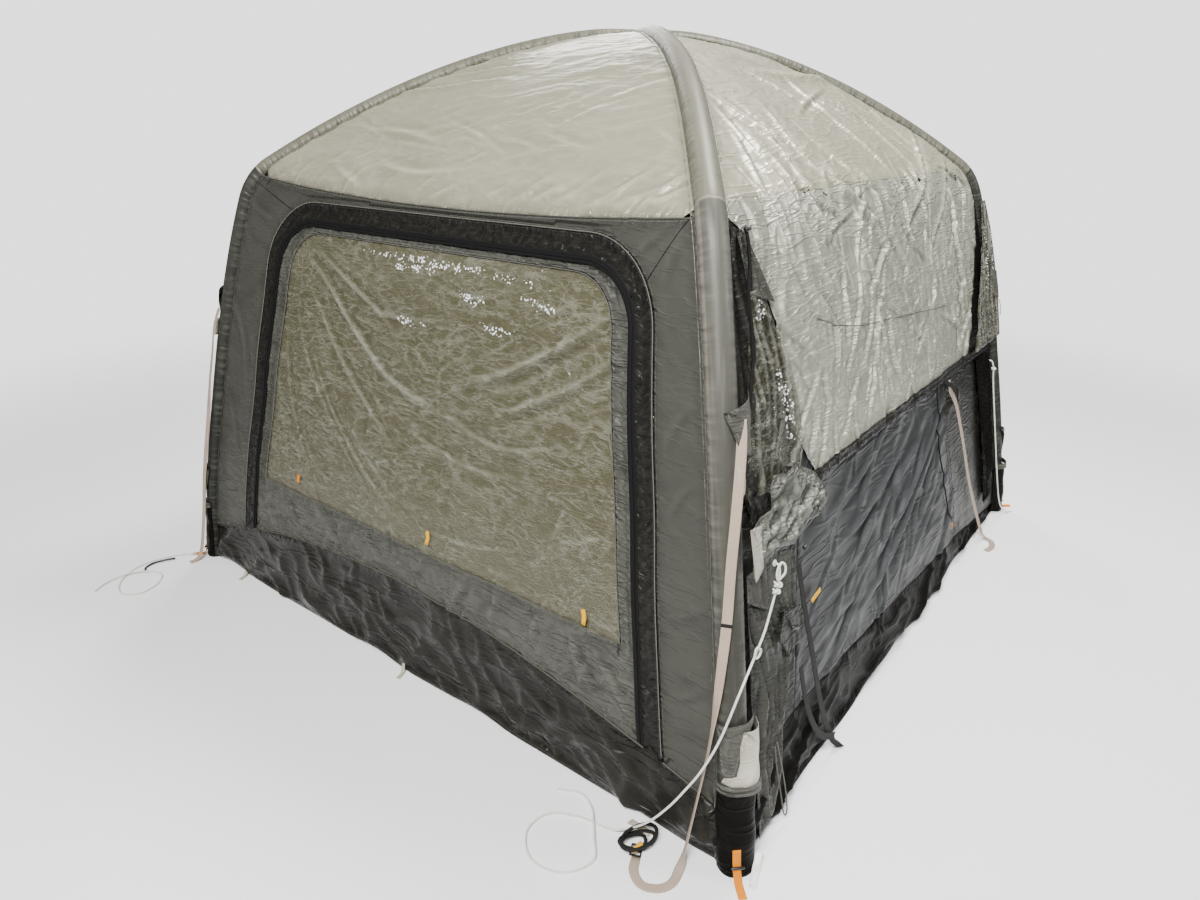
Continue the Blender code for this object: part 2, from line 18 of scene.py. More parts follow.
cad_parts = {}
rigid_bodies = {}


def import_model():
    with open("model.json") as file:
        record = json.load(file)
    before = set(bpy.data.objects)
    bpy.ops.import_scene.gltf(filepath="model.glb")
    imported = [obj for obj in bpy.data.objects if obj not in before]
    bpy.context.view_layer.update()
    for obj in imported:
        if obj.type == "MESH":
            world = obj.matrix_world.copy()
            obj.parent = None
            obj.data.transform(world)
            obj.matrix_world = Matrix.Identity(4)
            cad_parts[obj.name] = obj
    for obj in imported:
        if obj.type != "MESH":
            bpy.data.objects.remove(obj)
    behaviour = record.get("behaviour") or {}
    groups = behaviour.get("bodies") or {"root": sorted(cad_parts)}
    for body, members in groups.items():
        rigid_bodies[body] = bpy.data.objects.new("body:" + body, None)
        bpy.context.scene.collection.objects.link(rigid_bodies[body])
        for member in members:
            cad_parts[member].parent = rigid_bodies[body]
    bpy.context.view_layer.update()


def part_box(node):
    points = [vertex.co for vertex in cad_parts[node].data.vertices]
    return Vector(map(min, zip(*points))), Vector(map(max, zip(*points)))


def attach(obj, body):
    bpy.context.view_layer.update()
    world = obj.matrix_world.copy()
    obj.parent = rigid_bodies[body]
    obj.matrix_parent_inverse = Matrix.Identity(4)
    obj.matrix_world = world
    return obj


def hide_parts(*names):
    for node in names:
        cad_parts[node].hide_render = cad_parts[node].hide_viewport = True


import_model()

bl_info = {
    "name": "Drive-away awning",
    "version": (1, 0, 0),
    "blender": (4, 5, 0),
    "location": "3D View > Sidebar > Awning",
    "description": "Builds the cloth, sleeves, straps and lines of an inflatable drive-away awning",
    "category": "Object",
}

# Centre line of an air beam, in the quarter where x and y are positive, as in the frame
APEX_HEIGHT = 2.075
SHOULDER = np.array((0.966, 1.078, 1.58))
FOOT = np.array((1.290, 1.330, 0.0))
ROOF_POWER = 1.8
ROOF_END = 0.955
LEG_START = 0.05
LEG_BOW = np.array((0.031, 0.034, 0.0))
LEG_BOW_POWER = 3

# Openings and seams of a window wall, across and up
DOOR = {"centre": 0.035, "half": 1.055, "lean": 0.175, "top": 1.505, "corner": 0.24}
WINDOW = {"centre": 0.035, "half": 0.960, "lean": 0.19, "top": 1.43, "corner": 0.16}
WINDOW_BOTTOM = 0.485
ZIP_BAND_WIDTH = 0.055
SKIRT_HEIGHT, SKIRT_DROP = 0.340, 0.117
EAVE_HEIGHT, EAVE_RISE, EAVE_CENTRE = 1.538, 0.040, 0.10

# Openings and seams of the tunnel wall
TUNNEL_DOOR = {"centre": -0.20, "half": 0.840, "lean": 0.22, "top": 1.45, "corner": 0.20}
TUNNEL_SKIRT_HEIGHT, TUNNEL_SKIRT_TILT, TUNNEL_SKIRT_DROP = 0.190, 0.085, 0.020
TUNNEL_EAVE, TUNNEL_TOP = 1.60, 1.6015

# How far pieces stand out from the beam's centre line
WALL_PROUD = 0.012
BAND_PROUD = 0.0165
FILM_PROUD = 0.0125
CURTAIN_PROUD = 0.004
TUNNEL_PROUD = 0.019
BUNCHED_PROUD = 0.032
PANEL_EDGE = 0.032
SLEEVE_RADIUS = 0.037
SLEEVE_HALF_STRIP = 0.045
SURROUND_STRIP = 0.20
ROOF_TOP = -0.055

# Tunnel outlines across (y) and up (z), as in the frame
TUNNEL_NEAR_EDGE = ((-1.000, 1.545), (-0.905, 1.360), (-0.880, 1.220), (-0.890, 1.090),
                    (-0.825, 0.975), (-0.762, 0.880))
TUNNEL_FAR_EDGE = ((0.800, 0.880), (0.865, 1.040), (0.935, 1.220), (1.015, 1.400), (1.023, 1.545))
NEAR_GUSSET = ((-1.030, 1.530), (-0.9935, 1.530), (-0.9056, 1.360), (-1.020, 1.392))
NEAR_WINDOW = ((-1.030, 1.400), (-0.944, 1.397), (-0.900, 1.290), (-0.860, 1.151), (-0.820, 1.000),
               (-0.858, 0.918), (-0.967, 0.930), (-1.130, 0.900), (-1.165, 0.960), (-1.120, 1.090),
               (-1.078, 1.215))
NEAR_FLAP = ((-1.180, 0.877), (-1.141, 0.892), (-1.083, 0.891), (-1.078, 0.945), (-1.052, 0.968),
             (-0.985, 0.952), (-0.930, 0.958), (-0.828, 0.905), (-0.782, 0.850), (-0.760, 0.806),
             (-0.820, 0.778), (-0.882, 0.788), (-0.980, 0.760), (-1.060, 0.782), (-1.131, 0.775),
             (-1.205, 0.758), (-1.198, 0.820))
NEAR_SIDE = ((-1.200, 0.760), (-1.060, 0.760), (-1.000, 0.700), (-0.970, 0.566), (-0.985, 0.480),
             (-1.021, 0.463), (-1.050, 0.350), (-1.085, 0.274), (-1.100, 0.150), (-1.149, 0.050),
             (-1.236, 0.027), (-1.245, 0.196), (-1.239, 0.342), (-1.237, 0.455), (-1.218, 0.610))
FAR_WINDOW = ((0.8056, 0.885), (0.8656, 1.040), (0.9356, 1.220), (1.0156, 1.400), (1.0236, 1.470),
              (1.100, 1.470), (1.150, 1.350), (1.185, 1.200), (1.215, 1.050), (1.225, 0.885))
FAR_SIDE = ((0.880, 0.8415), (1.100, 0.8415), (1.150, 0.300), (1.130, 0.160), (1.020, 0.140),
            (0.950, 0.450))
ZIP_BUNCH = ((-1.000, 1.535), (-0.985, 1.500), (-0.990, 1.440), (-1.005, 1.380), (-1.020, 1.300),
             (-1.035, 1.220), (-1.060, 1.120), (-1.085, 1.020), (-1.100, 0.940), (-1.150, 0.900),
             (-1.180, 0.980), (-1.160, 1.100), (-1.140, 1.200), (-1.120, 1.300), (-1.100, 1.400),
             (-1.070, 1.500), (-1.040, 1.545))
UNDER_LAYER = ((-1.205, 0.765), (-1.059, 0.765), (-0.960, 0.740), (-0.971, 0.566), (-1.077, 0.604),
               (-1.215, 0.700))
FILM_ROLL = ((-0.964, 0.962), (-0.852, 0.920), (-0.845, 0.876), (-0.920, 0.880), (-0.995, 0.922))
FILM_HOLLOW = ((-1.150, 0.940), (-1.072, 0.930), (-1.015, 0.890), (-1.047, 0.865), (-1.112, 0.860),
               (-1.175, 0.885))
FLAP_LINING = ((-1.212, 0.888), (-1.160, 0.880), (-1.168, 0.775), (-1.212, 0.756))
POCKET = ((-1.069, 0.614), (-0.979, 0.590), (-0.950, 0.547), (-0.983, 0.490), (-1.073, 0.495),
          (-1.110, 0.553))
# Routes across and up of the painted white glints on the tunnel's near and far films
NEAR_GLEAM = (((-0.989, 1.389), (-0.973, 1.359), (-0.964, 1.322)),
              ((-0.964, 1.232), (-0.936, 1.194), (-0.897, 1.121), (-0.887, 1.040), (-0.869, 0.962)))
FAR_GLEAM = (((1.020, 1.440), (1.050, 1.300), (1.040, 1.180), (1.020, 1.080)),
             ((1.120, 1.400), (1.150, 1.250), (1.120, 1.120)))

# Routes of the straps and lines, as in the frame
NEAR_STRAP_ROUTE = (
    (1.1196, -1.1644, 1.150), (1.138, -1.186, 1.090), (1.160, -1.225, 0.974), (1.180, -1.263, 0.838),
    (1.198, -1.294, 0.697), (1.207, -1.324, 0.547), (1.201, -1.330, 0.400), (1.198, -1.348, 0.294),
    (1.193, -1.368, 0.193), (1.189, -1.388, 0.104), (1.188, -1.406, 0.040), (1.190, -1.432, 0.008),
    (1.196, -1.470, 0.004), (1.180, -1.504, 0.004), (1.140, -1.524, 0.004), (1.100, -1.505, 0.004),
    (1.080, -1.466, 0.004))
STRAP_ROUTE = (
    (1.1041, 1.2242, 1.100), (1.126, 1.245, 1.030), (1.146, 1.262, 0.920), (1.166, 1.281, 0.811),
    (1.186, 1.309, 0.645), (1.212, 1.329, 0.512), (1.240, 1.346, 0.380), (1.262, 1.362, 0.240),
    (1.280, 1.380, 0.120), (1.288, 1.396, 0.045), (1.292, 1.418, 0.008), (1.296, 1.448, 0.004))
FAR_TUNNEL_STRAP_ROUTE = (
    (1.1675, 0.525, 0.8398), (1.177, 0.527, 0.800), (1.198, 0.590, 0.719), (1.232, 0.668, 0.549),
    (1.272, 0.754, 0.339), (1.305, 0.866, 0.156), (1.330, 0.925, 0.050), (1.352, 0.950, 0.008),
    (1.380, 0.935, 0.004), (1.395, 0.885, 0.004), (1.385, 0.830, 0.004))
NEAR_TUNNEL_STRAP_ROUTE = (
    (1.2241, -0.960, 0.700), (1.2515, -0.956, 0.585), (1.284, -0.930, 0.420), (1.303, -0.880, 0.250),
    (1.318, -0.820, 0.110), (1.330, -0.775, 0.035), (1.342, -0.740, 0.006))
NEAR_LINE_ROUTE = (
    (1.2124, -1.085, 0.760), (1.225, -1.087, 0.756), (1.232, -1.098, 0.725), (1.234, -1.122, 0.680),
    (1.241, -1.172, 0.616), (1.252, -1.240, 0.585), (1.267, -1.336, 0.545), (1.240, -1.362, 0.411),
    (1.206, -1.376, 0.308), (1.171, -1.386, 0.232), (1.126, -1.396, 0.148), (1.078, -1.409, 0.078),
    (1.027, -1.421, 0.030), (0.974, -1.439, 0.006), (0.890, -1.455, 0.004), (0.810, -1.500, 0.004),
    (0.800, -1.580, 0.004), (0.870, -1.640, 0.004), (0.960, -1.620, 0.004), (1.000, -1.545, 0.005),
    (0.960, -1.490, 0.010), (0.925, -1.449, 0.0125), (0.893, -1.415, 0.008), (0.835, -1.390, 0.004),
    (0.770, -1.420, 0.004))
LEFT_LINE_ROUTE = (
    (-1.3590, -1.4013, 0.0035), (-1.380, -1.425, 0.004), (-1.408, -1.470, 0.004),
    (-1.430, -1.540, 0.004), (-1.425, -1.620, 0.004), (-1.370, -1.700, 0.004),
    (-1.280, -1.740, 0.004), (-1.215, -1.700, 0.004), (-1.230, -1.620, 0.004),
    (-1.300, -1.570, 0.004), (-1.365, -1.610, 0.009), (-1.392, -1.675, 0.0125),
    (-1.400, -1.740, 0.006), (-1.370, -1.800, 0.004))
FAR_LINE_ROUTE = (
    (1.2010, 1.030, 0.815), (1.213, 1.031, 0.812), (1.223, 1.036, 0.780), (1.234, 1.050, 0.700),
    (1.281, 1.085, 0.450), (1.314, 1.135, 0.250), (1.336, 1.225, 0.080), (1.360, 1.290, 0.015),
    (1.382, 1.330, 0.004))
CORNERS = {"front_left": (-1, -1), "front_right": (1, -1), "back_right": (1, 1), "back_left": (-1, 1)}

# Folds as routes across and up, then width and height
ROOF_FOLDS = {
    "front": (
        (((-0.73, 1.85), (-0.38, 1.87), (-0.07, 1.90)), 0.016, 0.010),
        (((-0.59, 1.93), (-0.35, 1.95), (-0.10, 1.97)), 0.014, 0.006),
        (((-0.59, 1.89), (-0.32, 1.92), (-0.06, 1.94)), 0.018, 0.008),
        (((-0.71, 1.75), (-0.28, 1.73), (-0.07, 1.78)), 0.016, 0.004),
        (((-0.25, 1.78), (0.00, 1.73), (0.24, 1.66)), 0.010, 0.003),
        (((-0.34, 1.64), (-0.12, 1.62), (0.14, 1.64)), 0.018, 0.006),
        (((-0.55, 1.63), (-0.44, 1.60), (-0.32, 1.56)), 0.014, 0.004),
        (((0.66, 1.56), (0.79, 1.62), (0.89, 1.68)), 0.014, 0.006),
        (((0.74, 1.57), (0.84, 1.61), (0.90, 1.64)), 0.011, 0.005),
        (((0.58, 1.56), (0.66, 1.61), (0.74, 1.67)), 0.013, 0.005),
        (((0.44, 1.55), (0.53, 1.60), (0.60, 1.67)), 0.014, 0.004),
        (((0.30, 1.55), (0.37, 1.59), (0.42, 1.64)), 0.012, 0.003),
        (((0.60, 1.76), (0.74, 1.71), (0.82, 1.67)), 0.012, 0.003),
    ),
    "right": (
        (((-0.12, 1.933), (0.20, 1.925), (0.65, 1.905), (0.90, 1.80)), 0.050, 0.016),
        (((-0.66, 1.82), (-0.70, 1.66), (-0.64, 1.50), (-0.52, 1.29), (-0.47, 1.22)), 0.020, 0.016),
        (((-0.70, 1.76), (-0.80, 1.60), (-0.78, 1.44), (-0.70, 1.28)), 0.016, 0.010),
        (((-0.58, 1.84), (-0.52, 1.74), (-0.56, 1.58), (-0.44, 1.42), (-0.38, 1.30)), 0.018, 0.011),
        (((-0.36, 1.84), (-0.41, 1.69), (-0.31, 1.61), (-0.12, 1.48), (0.04, 1.29), (0.07, 1.24)),
         0.020, 0.015),
        (((-0.22, 1.81), (-0.22, 1.72), (-0.10, 1.60), (0.10, 1.46), (0.16, 1.34)), 0.015, 0.009),
        (((0.38, 1.89), (0.12, 1.85), (-0.13, 1.80)), 0.012, 0.006),
        (((0.84, 1.77), (0.50, 1.60), (0.18, 1.45), (0.09, 1.32)), 0.018, 0.012),
        (((0.90, 1.66), (0.66, 1.52), (0.44, 1.38), (0.36, 1.24)), 0.014, 0.009),
        (((-0.24, 1.54), (-0.40, 1.51), (-0.54, 1.46)), 0.010, 0.006),
        (((-0.14, 1.61), (-0.26, 1.47), (-0.33, 1.34), (-0.35, 1.22)), 0.014, 0.008),
        (((0.61, 1.50), (0.56, 1.38), (0.52, 1.26)), 0.010, 0.005),
        (((-0.66, 1.36), (-0.55, 1.24), (-0.52, 1.10)), 0.012, 0.006),
        (((0.75, 1.30), (0.62, 1.16), (0.58, 1.00)), 0.014, 0.006),
        (((-0.10, 1.18), (-0.20, 1.05), (-0.22, 0.95)), 0.012, 0.006),
        (((0.30, 1.16), (0.18, 1.06), (0.12, 0.96)), 0.012, 0.006),
    ),
}
WINDOW_FOLDS = (
    (((-0.60, 1.36), (-0.44, 1.25), (-0.25, 1.10), (-0.08, 1.00), (0.20, 0.93)), 0.017, 0.013),
    (((-0.54, 1.37), (-0.36, 1.29), (-0.16, 1.20), (-0.06, 1.12)), 0.012, 0.009),
    (((-0.60, 1.30), (-0.48, 1.16), (-0.33, 1.00), (-0.16, 0.86), (0.00, 0.74)), 0.015, 0.009),
    (((-0.64, 1.24), (-0.58, 1.05), (-0.45, 0.86), (-0.30, 0.70), (-0.18, 0.60)), 0.014, 0.008),
    (((-0.68, 1.12), (-0.66, 0.90), (-0.60, 0.72), (-0.52, 0.58)), 0.012, 0.007),
    (((-0.72, 0.98), (-0.72, 0.80), (-0.66, 0.60)), 0.011, 0.005),
    (((-0.52, 1.02), (-0.38, 0.82), (-0.20, 0.66), (-0.02, 0.56)), 0.014, 0.009),
    (((-0.42, 0.94), (-0.24, 0.76), (-0.08, 0.64), (0.06, 0.55)), 0.010, 0.005),
    (((0.76, 1.34), (0.58, 1.22), (0.40, 1.12), (0.22, 1.05)), 0.022, 0.012),
    (((0.80, 1.25), (0.66, 1.14), (0.48, 1.04), (0.34, 0.99)), 0.020, 0.010),
    (((0.08, 1.00), (0.22, 0.93), (0.40, 0.90), (0.60, 0.94)), 0.016, 0.008),
    (((-0.10, 0.92), (0.08, 0.84), (0.30, 0.81), (0.52, 0.84)), 0.014, 0.006),
    (((-0.28, 1.21), (-0.05, 1.205), (0.20, 1.23)), 0.010, 0.005),
    (((0.03, 1.34), (0.20, 1.30), (0.36, 1.33)), 0.010, 0.004),
    (((0.05, 0.56), (0.30, 0.57), (0.52, 0.63)), 0.012, 0.006),
    (((0.78, 0.53), (0.88, 0.50), (0.95, 0.49)), 0.007, 0.004),
    (((0.76, 0.57), (0.88, 0.56), (0.96, 0.57)), 0.007, 0.003),
)
DOOR_FOLDS = (
    (((0.80, 0.44), (0.90, 0.34), (0.98, 0.26)), 0.010, 0.007),
    (((0.70, 0.44), (0.78, 0.35), (0.86, 0.27)), 0.014, 0.006),
    (((0.55, 0.47), (0.58, 0.40), (0.56, 0.33)), 0.014, 0.006),
    (((0.30, 0.47), (0.26, 0.40), (0.24, 0.34)), 0.018, 0.008),
    (((0.12, 0.46), (0.06, 0.41), (-0.02, 0.37)), 0.014, 0.005),
    (((-0.20, 0.48), (-0.18, 0.42), (-0.10, 0.36)), 0.012, 0.005),
    (((-0.50, 0.48), (-0.44, 0.42), (-0.36, 0.35)), 0.014, 0.006),
    (((-0.72, 0.46), (-0.66, 0.40), (-0.60, 0.34)), 0.014, 0.006),
)
SURROUND_FOLDS = (
    (((0.86, 1.545), (0.80, 1.50), (0.76, 1.46)), 0.010, 0.004),
    (((0.92, 1.54), (0.88, 1.48), (0.87, 1.40)), 0.012, 0.004),
    (((1.05, 1.18), (0.98, 1.12), (0.94, 1.02)), 0.012, 0.004),
    (((1.08, 0.98), (1.02, 0.95), (0.98, 0.86)), 0.010, 0.004),
    (((1.17, 0.74), (1.10, 0.66), (1.03, 0.62)), 0.012, 0.004),
    (((1.20, 0.52), (1.12, 0.44), (1.06, 0.40)), 0.012, 0.004),
    (((-0.97, 1.50), (-0.88, 1.46), (-0.80, 1.44)), 0.010, 0.004),
    (((-1.06, 1.16), (-0.98, 1.00), (-0.96, 0.80)), 0.014, 0.005),
    (((-1.12, 0.78), (-1.05, 0.66), (-1.02, 0.50)), 0.014, 0.004),
)
SLATE_FOLDS = (
    (((0.55, 0.84), (0.25, 0.66), (-0.10, 0.52), (-0.45, 0.44)), 0.020, 0.012),
    (((0.40, 0.70), (0.10, 0.52), (-0.25, 0.38), (-0.55, 0.32)), 0.022, 0.012),
    (((0.15, 0.82), (-0.15, 0.70), (-0.45, 0.62), (-0.75, 0.60)), 0.018, 0.010),
    (((0.45, 0.52), (0.20, 0.36), (-0.05, 0.27)), 0.018, 0.008),
    (((-0.15, 0.86), (-0.40, 0.76), (-0.70, 0.72)), 0.014, 0.007),
    (((-0.30, 0.60), (-0.55, 0.50), (-0.80, 0.47)), 0.014, 0.008),
    (((-0.40, 0.36), (-0.65, 0.40), (-0.90, 0.36)), 0.012, 0.006),
)


class AwningSizes(bpy.types.PropertyGroup):
    """Sizes of the cloth, sleeves, straps and lines."""

    cloth_step: FloatProperty(
        name="Cloth net", description="Spacing of the net of triangles on the sides that show most",
        default=0.0095, min=0.004, unit="LENGTH")
    far_cloth_step: FloatProperty(
        name="Far cloth net", description="Spacing of the net on the other two sides",
        default=0.0150, min=0.004, unit="LENGTH")
    cloth_thickness: FloatProperty(
        name="Cloth thickness", description="Thickness of the wall and roof cloth",
        default=0.0010, unit="LENGTH")
    film_thickness: FloatProperty(
        name="Film thickness", description="Thickness of the clear windows",
        default=0.0006, unit="LENGTH")
    webbing_width: FloatProperty(
        name="Webbing width", description="Width of the storm and tunnel straps",
        default=0.025, unit="LENGTH")
    webbing_thickness: FloatProperty(
        name="Webbing thickness", description="Thickness of the straps", default=0.002, unit="LENGTH")
    line_diameter: FloatProperty(
        name="Guy line diameter", description="Diameter of the guy lines", default=0.006, unit="LENGTH")


def colour_property(name, description, value):
    return FloatVectorProperty(name=name, description=description, subtype="COLOR", size=3, min=0, max=1,
                               default=value)


class AwningColours(bpy.types.PropertyGroup):
    """Colours of the cloths, straps and lines."""

    roof: colour_property("Roof", "Silver beige of the roof and tunnel", (0.360, 0.345, 0.255))
    wall: colour_property("Wall", "Mid grey of the walls", (0.044, 0.044, 0.037))
    door: colour_property("Door", "Darker grey of the door panel", (0.058, 0.058, 0.049))
    sleeve: colour_property("Sleeve", "Warm grey of the beam sleeves", (0.110, 0.108, 0.090))
    stripe: colour_property("Stripe", "Pale stripe down each sleeve", (0.200, 0.180, 0.145))
    skirt: colour_property("Skirt", "Black of the mud skirts", (0.0120, 0.0112, 0.0090))
    zip_cover: colour_property("Zip cover", "Charcoal of the crinkled zip cover", (0.011, 0.0105, 0.009))
    zip: colour_property("Zip", "Black of the zips", (0.004, 0.004, 0.004))
    curtain: colour_property("Curtain", "Olive khaki of the curtains", (0.115, 0.108, 0.060))
    film: colour_property("Film", "Tint of the clear windows", (0.092, 0.086, 0.050))
    slate: colour_property("Slate", "Dark slate of the tunnel wall", (0.0210, 0.0220, 0.0225))
    webbing: colour_property("Webbing", "Pinkish beige webbing", (0.36, 0.28, 0.22))
    dark_webbing: colour_property("Dark webbing", "Black webbing", (0.014, 0.014, 0.013))
    piping: colour_property("Piping", "Pale piping along the seams", (0.10, 0.098, 0.085))
    # The roof's silver, greyer, and darker in part as painted shade for the tunnel's steeper hang
    tunnel: colour_property("Tunnel", "Silver grey of the tunnel", (0.298, 0.298, 0.238))
    flap: colour_property("Flap", "Grey of the tunnel's folded flap", (0.090, 0.092, 0.078))
    lining: colour_property("Lining", "Pale lining of the flap and cuff", (0.42, 0.40, 0.32))
    cream: colour_property("Cream", "Cream webbing of the loops and tabs", (0.42, 0.38, 0.29))
    black: colour_property("Black", "Black plastic", (0.012, 0.012, 0.012))
    white: colour_property("White", "White plastic", (0.70, 0.69, 0.65))
    line: colour_property("Line", "White guy line", (0.66, 0.65, 0.60))
    orange: colour_property("Orange", "Orange peg straps", (0.60, 0.19, 0.006))
    yellow: colour_property("Yellow", "Yellow tabs and toggles", (0.70, 0.37, 0.015))


class AwningView(bpy.types.PropertyGroup):
    """Camera and light."""

    position: FloatVectorProperty(
        name="Camera", description="Where the camera stands", subtype="TRANSLATION",
        default=(1.916, -2.719, 1.774))
    yaw: FloatProperty(name="Yaw", description="Turn of the camera from +Y", subtype="ANGLE",
                       default=math.radians(-37.67))
    pitch: FloatProperty(name="Pitch", description="Rise of the camera", subtype="ANGLE",
                         default=math.radians(-22.46))
    roll: FloatProperty(name="Roll", description="Tilt of the camera", subtype="ANGLE",
                        default=math.radians(0.54))
    lens: FloatProperty(name="Lens", description="Focal length in millimetres on a 36 mm sensor",
                        default=23.73)
    light: FloatProperty(name="Light", description="Strength of all the lights", default=1.0, min=0)


def sizes():
    return bpy.context.scene.awning_sizes


def colours():
    return bpy.context.scene.awning_colours


# The line of the beams and the flat pattern of each side

def roof_point(t):
    fall = (APEX_HEIGHT - SHOULDER[2]) * t ** ROOF_POWER
    return np.array((SHOULDER[0] * t, SHOULDER[1] * t, APEX_HEIGHT - fall))


def leg_point(s):
    bow = 1 - abs(2 * s - 1) ** LEG_BOW_POWER
    return SHOULDER * (1 - s) + FOOT * s + LEG_BOW * bow


def shoulder_point(u):
    return (roof_point(ROOF_END) * (1 - u) ** 2 + SHOULDER * 2 * u * (1 - u)
            + leg_point(LEG_START) * u ** 2)


def beam_line():
    """Fine points down the centre line of a beam, from the apex to the foot."""
    roof = [roof_point(t) for t in np.linspace(0, ROOF_END, 100)]
    bend = [shoulder_point(u) for u in np.linspace(0, 1, 24)[1:]]
    leg = [leg_point(s) for s in np.linspace(LEG_START, 1, 120)[1:]]
    return np.array(roof + bend + leg)


BEAM_LINE = beam_line()
ARM_BOW = (0.025, 0.020)
ARM_BOW_REACH = 0.35


def bowed(points):
    """The near arm bows a little to the right between apex and shoulder, and the cloth goes with it."""
    points = np.array(points, float)
    arm = SHOULDER[:2] * (1, -1)
    length = np.linalg.norm(arm)
    along = np.clip(points[:, :2] @ arm / length ** 2, 0, 1)
    away = (points[:, 0] * arm[1] - points[:, 1] * arm[0]) / length
    share = np.sin(math.pi * along) ** 1.2 * np.exp(-(away / ARM_BOW_REACH) ** 2)
    points[:, :2] += np.outer(share, ARM_BOW)
    return points


class Side:
    """One side: its profile down from the apex, and the way from its flat pattern to space.

    The pattern's x runs across, to the right as seen from outside, and its y is minus the path.
    """

    def __init__(self, name):
        self.name = name
        self.axis = 1 if name in ("front", "back") else 0
        self.out = BEAM_LINE[:, self.axis]
        self.up = BEAM_LINE[:, 2]
        self.reach = BEAM_LINE[:, 1 - self.axis]
        steps = np.hypot(np.diff(self.out), np.diff(self.up))
        self.path = np.concatenate([[0.0], np.cumsum(steps)])
        run_out = np.gradient(self.out, self.path)
        run_up = np.gradient(self.up, self.path)
        length = np.hypot(run_out, run_up)
        self.normal_out = -run_up / length
        self.normal_up = run_out / length

    def y_at(self, up):
        """The pattern's y at a height over the ground."""
        return -np.interp(-np.asarray(up, float), -self.up, self.path)

    def up_at(self, y):
        """The height over the ground at the pattern's y."""
        return np.interp(-y, self.path, self.up)

    def across(self, points):
        """How far across the side some points in space lie."""
        return {"front": points[:, 0], "right": points[:, 1], "back": -points[:, 0],
                "left": -points[:, 1]}[self.name]

    def edge(self, y):
        """How far across the beam's centre line lies at the pattern's y."""
        return np.interp(-y, self.path, self.reach)

    def place(self, across, y, proud):
        path = -np.asarray(y, float)
        out = np.interp(path, self.path, self.out)
        up = np.interp(path, self.path, self.up)
        out = out + np.interp(path, self.path, self.normal_out) * proud
        up = up + np.interp(path, self.path, self.normal_up) * proud
        x, y_out = {
            "front": (across, -out), "right": (out, across), "back": (-across, out),
            "left": (-out, -across),
        }[self.name]
        return np.stack([x + 0 * up, y_out + 0 * up, up], axis=-1)

    def pattern(self, points):
        """Points given across and up, in the flat pattern."""
        points = np.array(points, float)
        return np.stack([points[:, 0], self.y_at(points[:, 1])], axis=1)


SIDES = {name: Side(name) for name in ("front", "right", "back", "left")}


# Curves, noise and folds

def smooth_route(route, spacing):
    """Points at an even spacing along a Catmull-Rom curve through a route."""
    points = np.array(route, float)
    points = np.vstack([points[0] * 2 - points[1], points, points[-1] * 2 - points[-2]])
    fine = []
    for a, b, c, d in zip(points, points[1:], points[2:], points[3:]):
        t = np.linspace(0, 1, 24, endpoint=False)[:, None]
        fine.append((b * 2 + (c - a) * t + (a * 2 - b * 5 + c * 4 - d) * t ** 2
                     + (b * 3 - a - c * 3 + d) * t ** 3) / 2)
    return resampled(np.vstack(fine + [points[-2:-1]]), spacing)


def distances(points):
    """How far along a line each of its points lies."""
    return np.concatenate([[0.0], np.cumsum(np.linalg.norm(np.diff(points, axis=0), axis=1))])


def resampled(points, spacing):
    along = distances(points)
    count = max(round(along[-1] / spacing), 2)
    wanted = np.linspace(0, along[-1], count + 1)
    return np.stack([np.interp(wanted, along, column) for column in points.T], axis=1)


def fade(value):
    """A smooth step from 0 to 1."""
    value = np.clip(value, 0, 1)
    return value * value * (3 - 2 * value)


NOISE_CELLS = 64


def noise(x, y, seed):
    """Smooth gradient noise in the plane, about -1 to 1, with features one unit across."""
    angles = np.random.default_rng(seed).uniform(0, 2 * math.pi, (NOISE_CELLS, NOISE_CELLS))
    column, row = np.floor(x).astype(int), np.floor(y).astype(int)
    right, up = x - column, y - row
    total = np.zeros(np.shape(x))
    for step_x in (0, 1):
        for step_y in (0, 1):
            angle = angles[(column + step_x) % NOISE_CELLS, (row + step_y) % NOISE_CELLS]
            rise = np.cos(angle) * (right - step_x) + np.sin(angle) * (up - step_y)
            weight_x = fade(right if step_x else 1 - right)
            weight_y = fade(up if step_y else 1 - up)
            total += rise * weight_x * weight_y
    return total * 1.5


def creases(x, y, length, width, turn, seed, octaves=3):
    """Creases longer than wide, turned from across by an angle: 1 on the crests, about 0 between."""
    turn = math.radians(turn)
    bend = noise(x / 0.35, y / 0.35, seed + 40) * 0.5
    along = (x * math.cos(turn) + y * math.sin(turn)) / length + bend
    beside = (y * math.cos(turn) - x * math.sin(turn)) / width + bend * length / width * 0.4
    total, weight, most = 0, 1.0, 0
    for octave in range(octaves):
        scale = 2 ** octave
        ridge = 1 - np.abs(noise(along * scale, beside * scale, seed + octave)) * 2.2
        total = total + weight * np.clip(ridge, 0, 1) ** 1.5
        most += weight
        weight *= 0.5
    return total / most


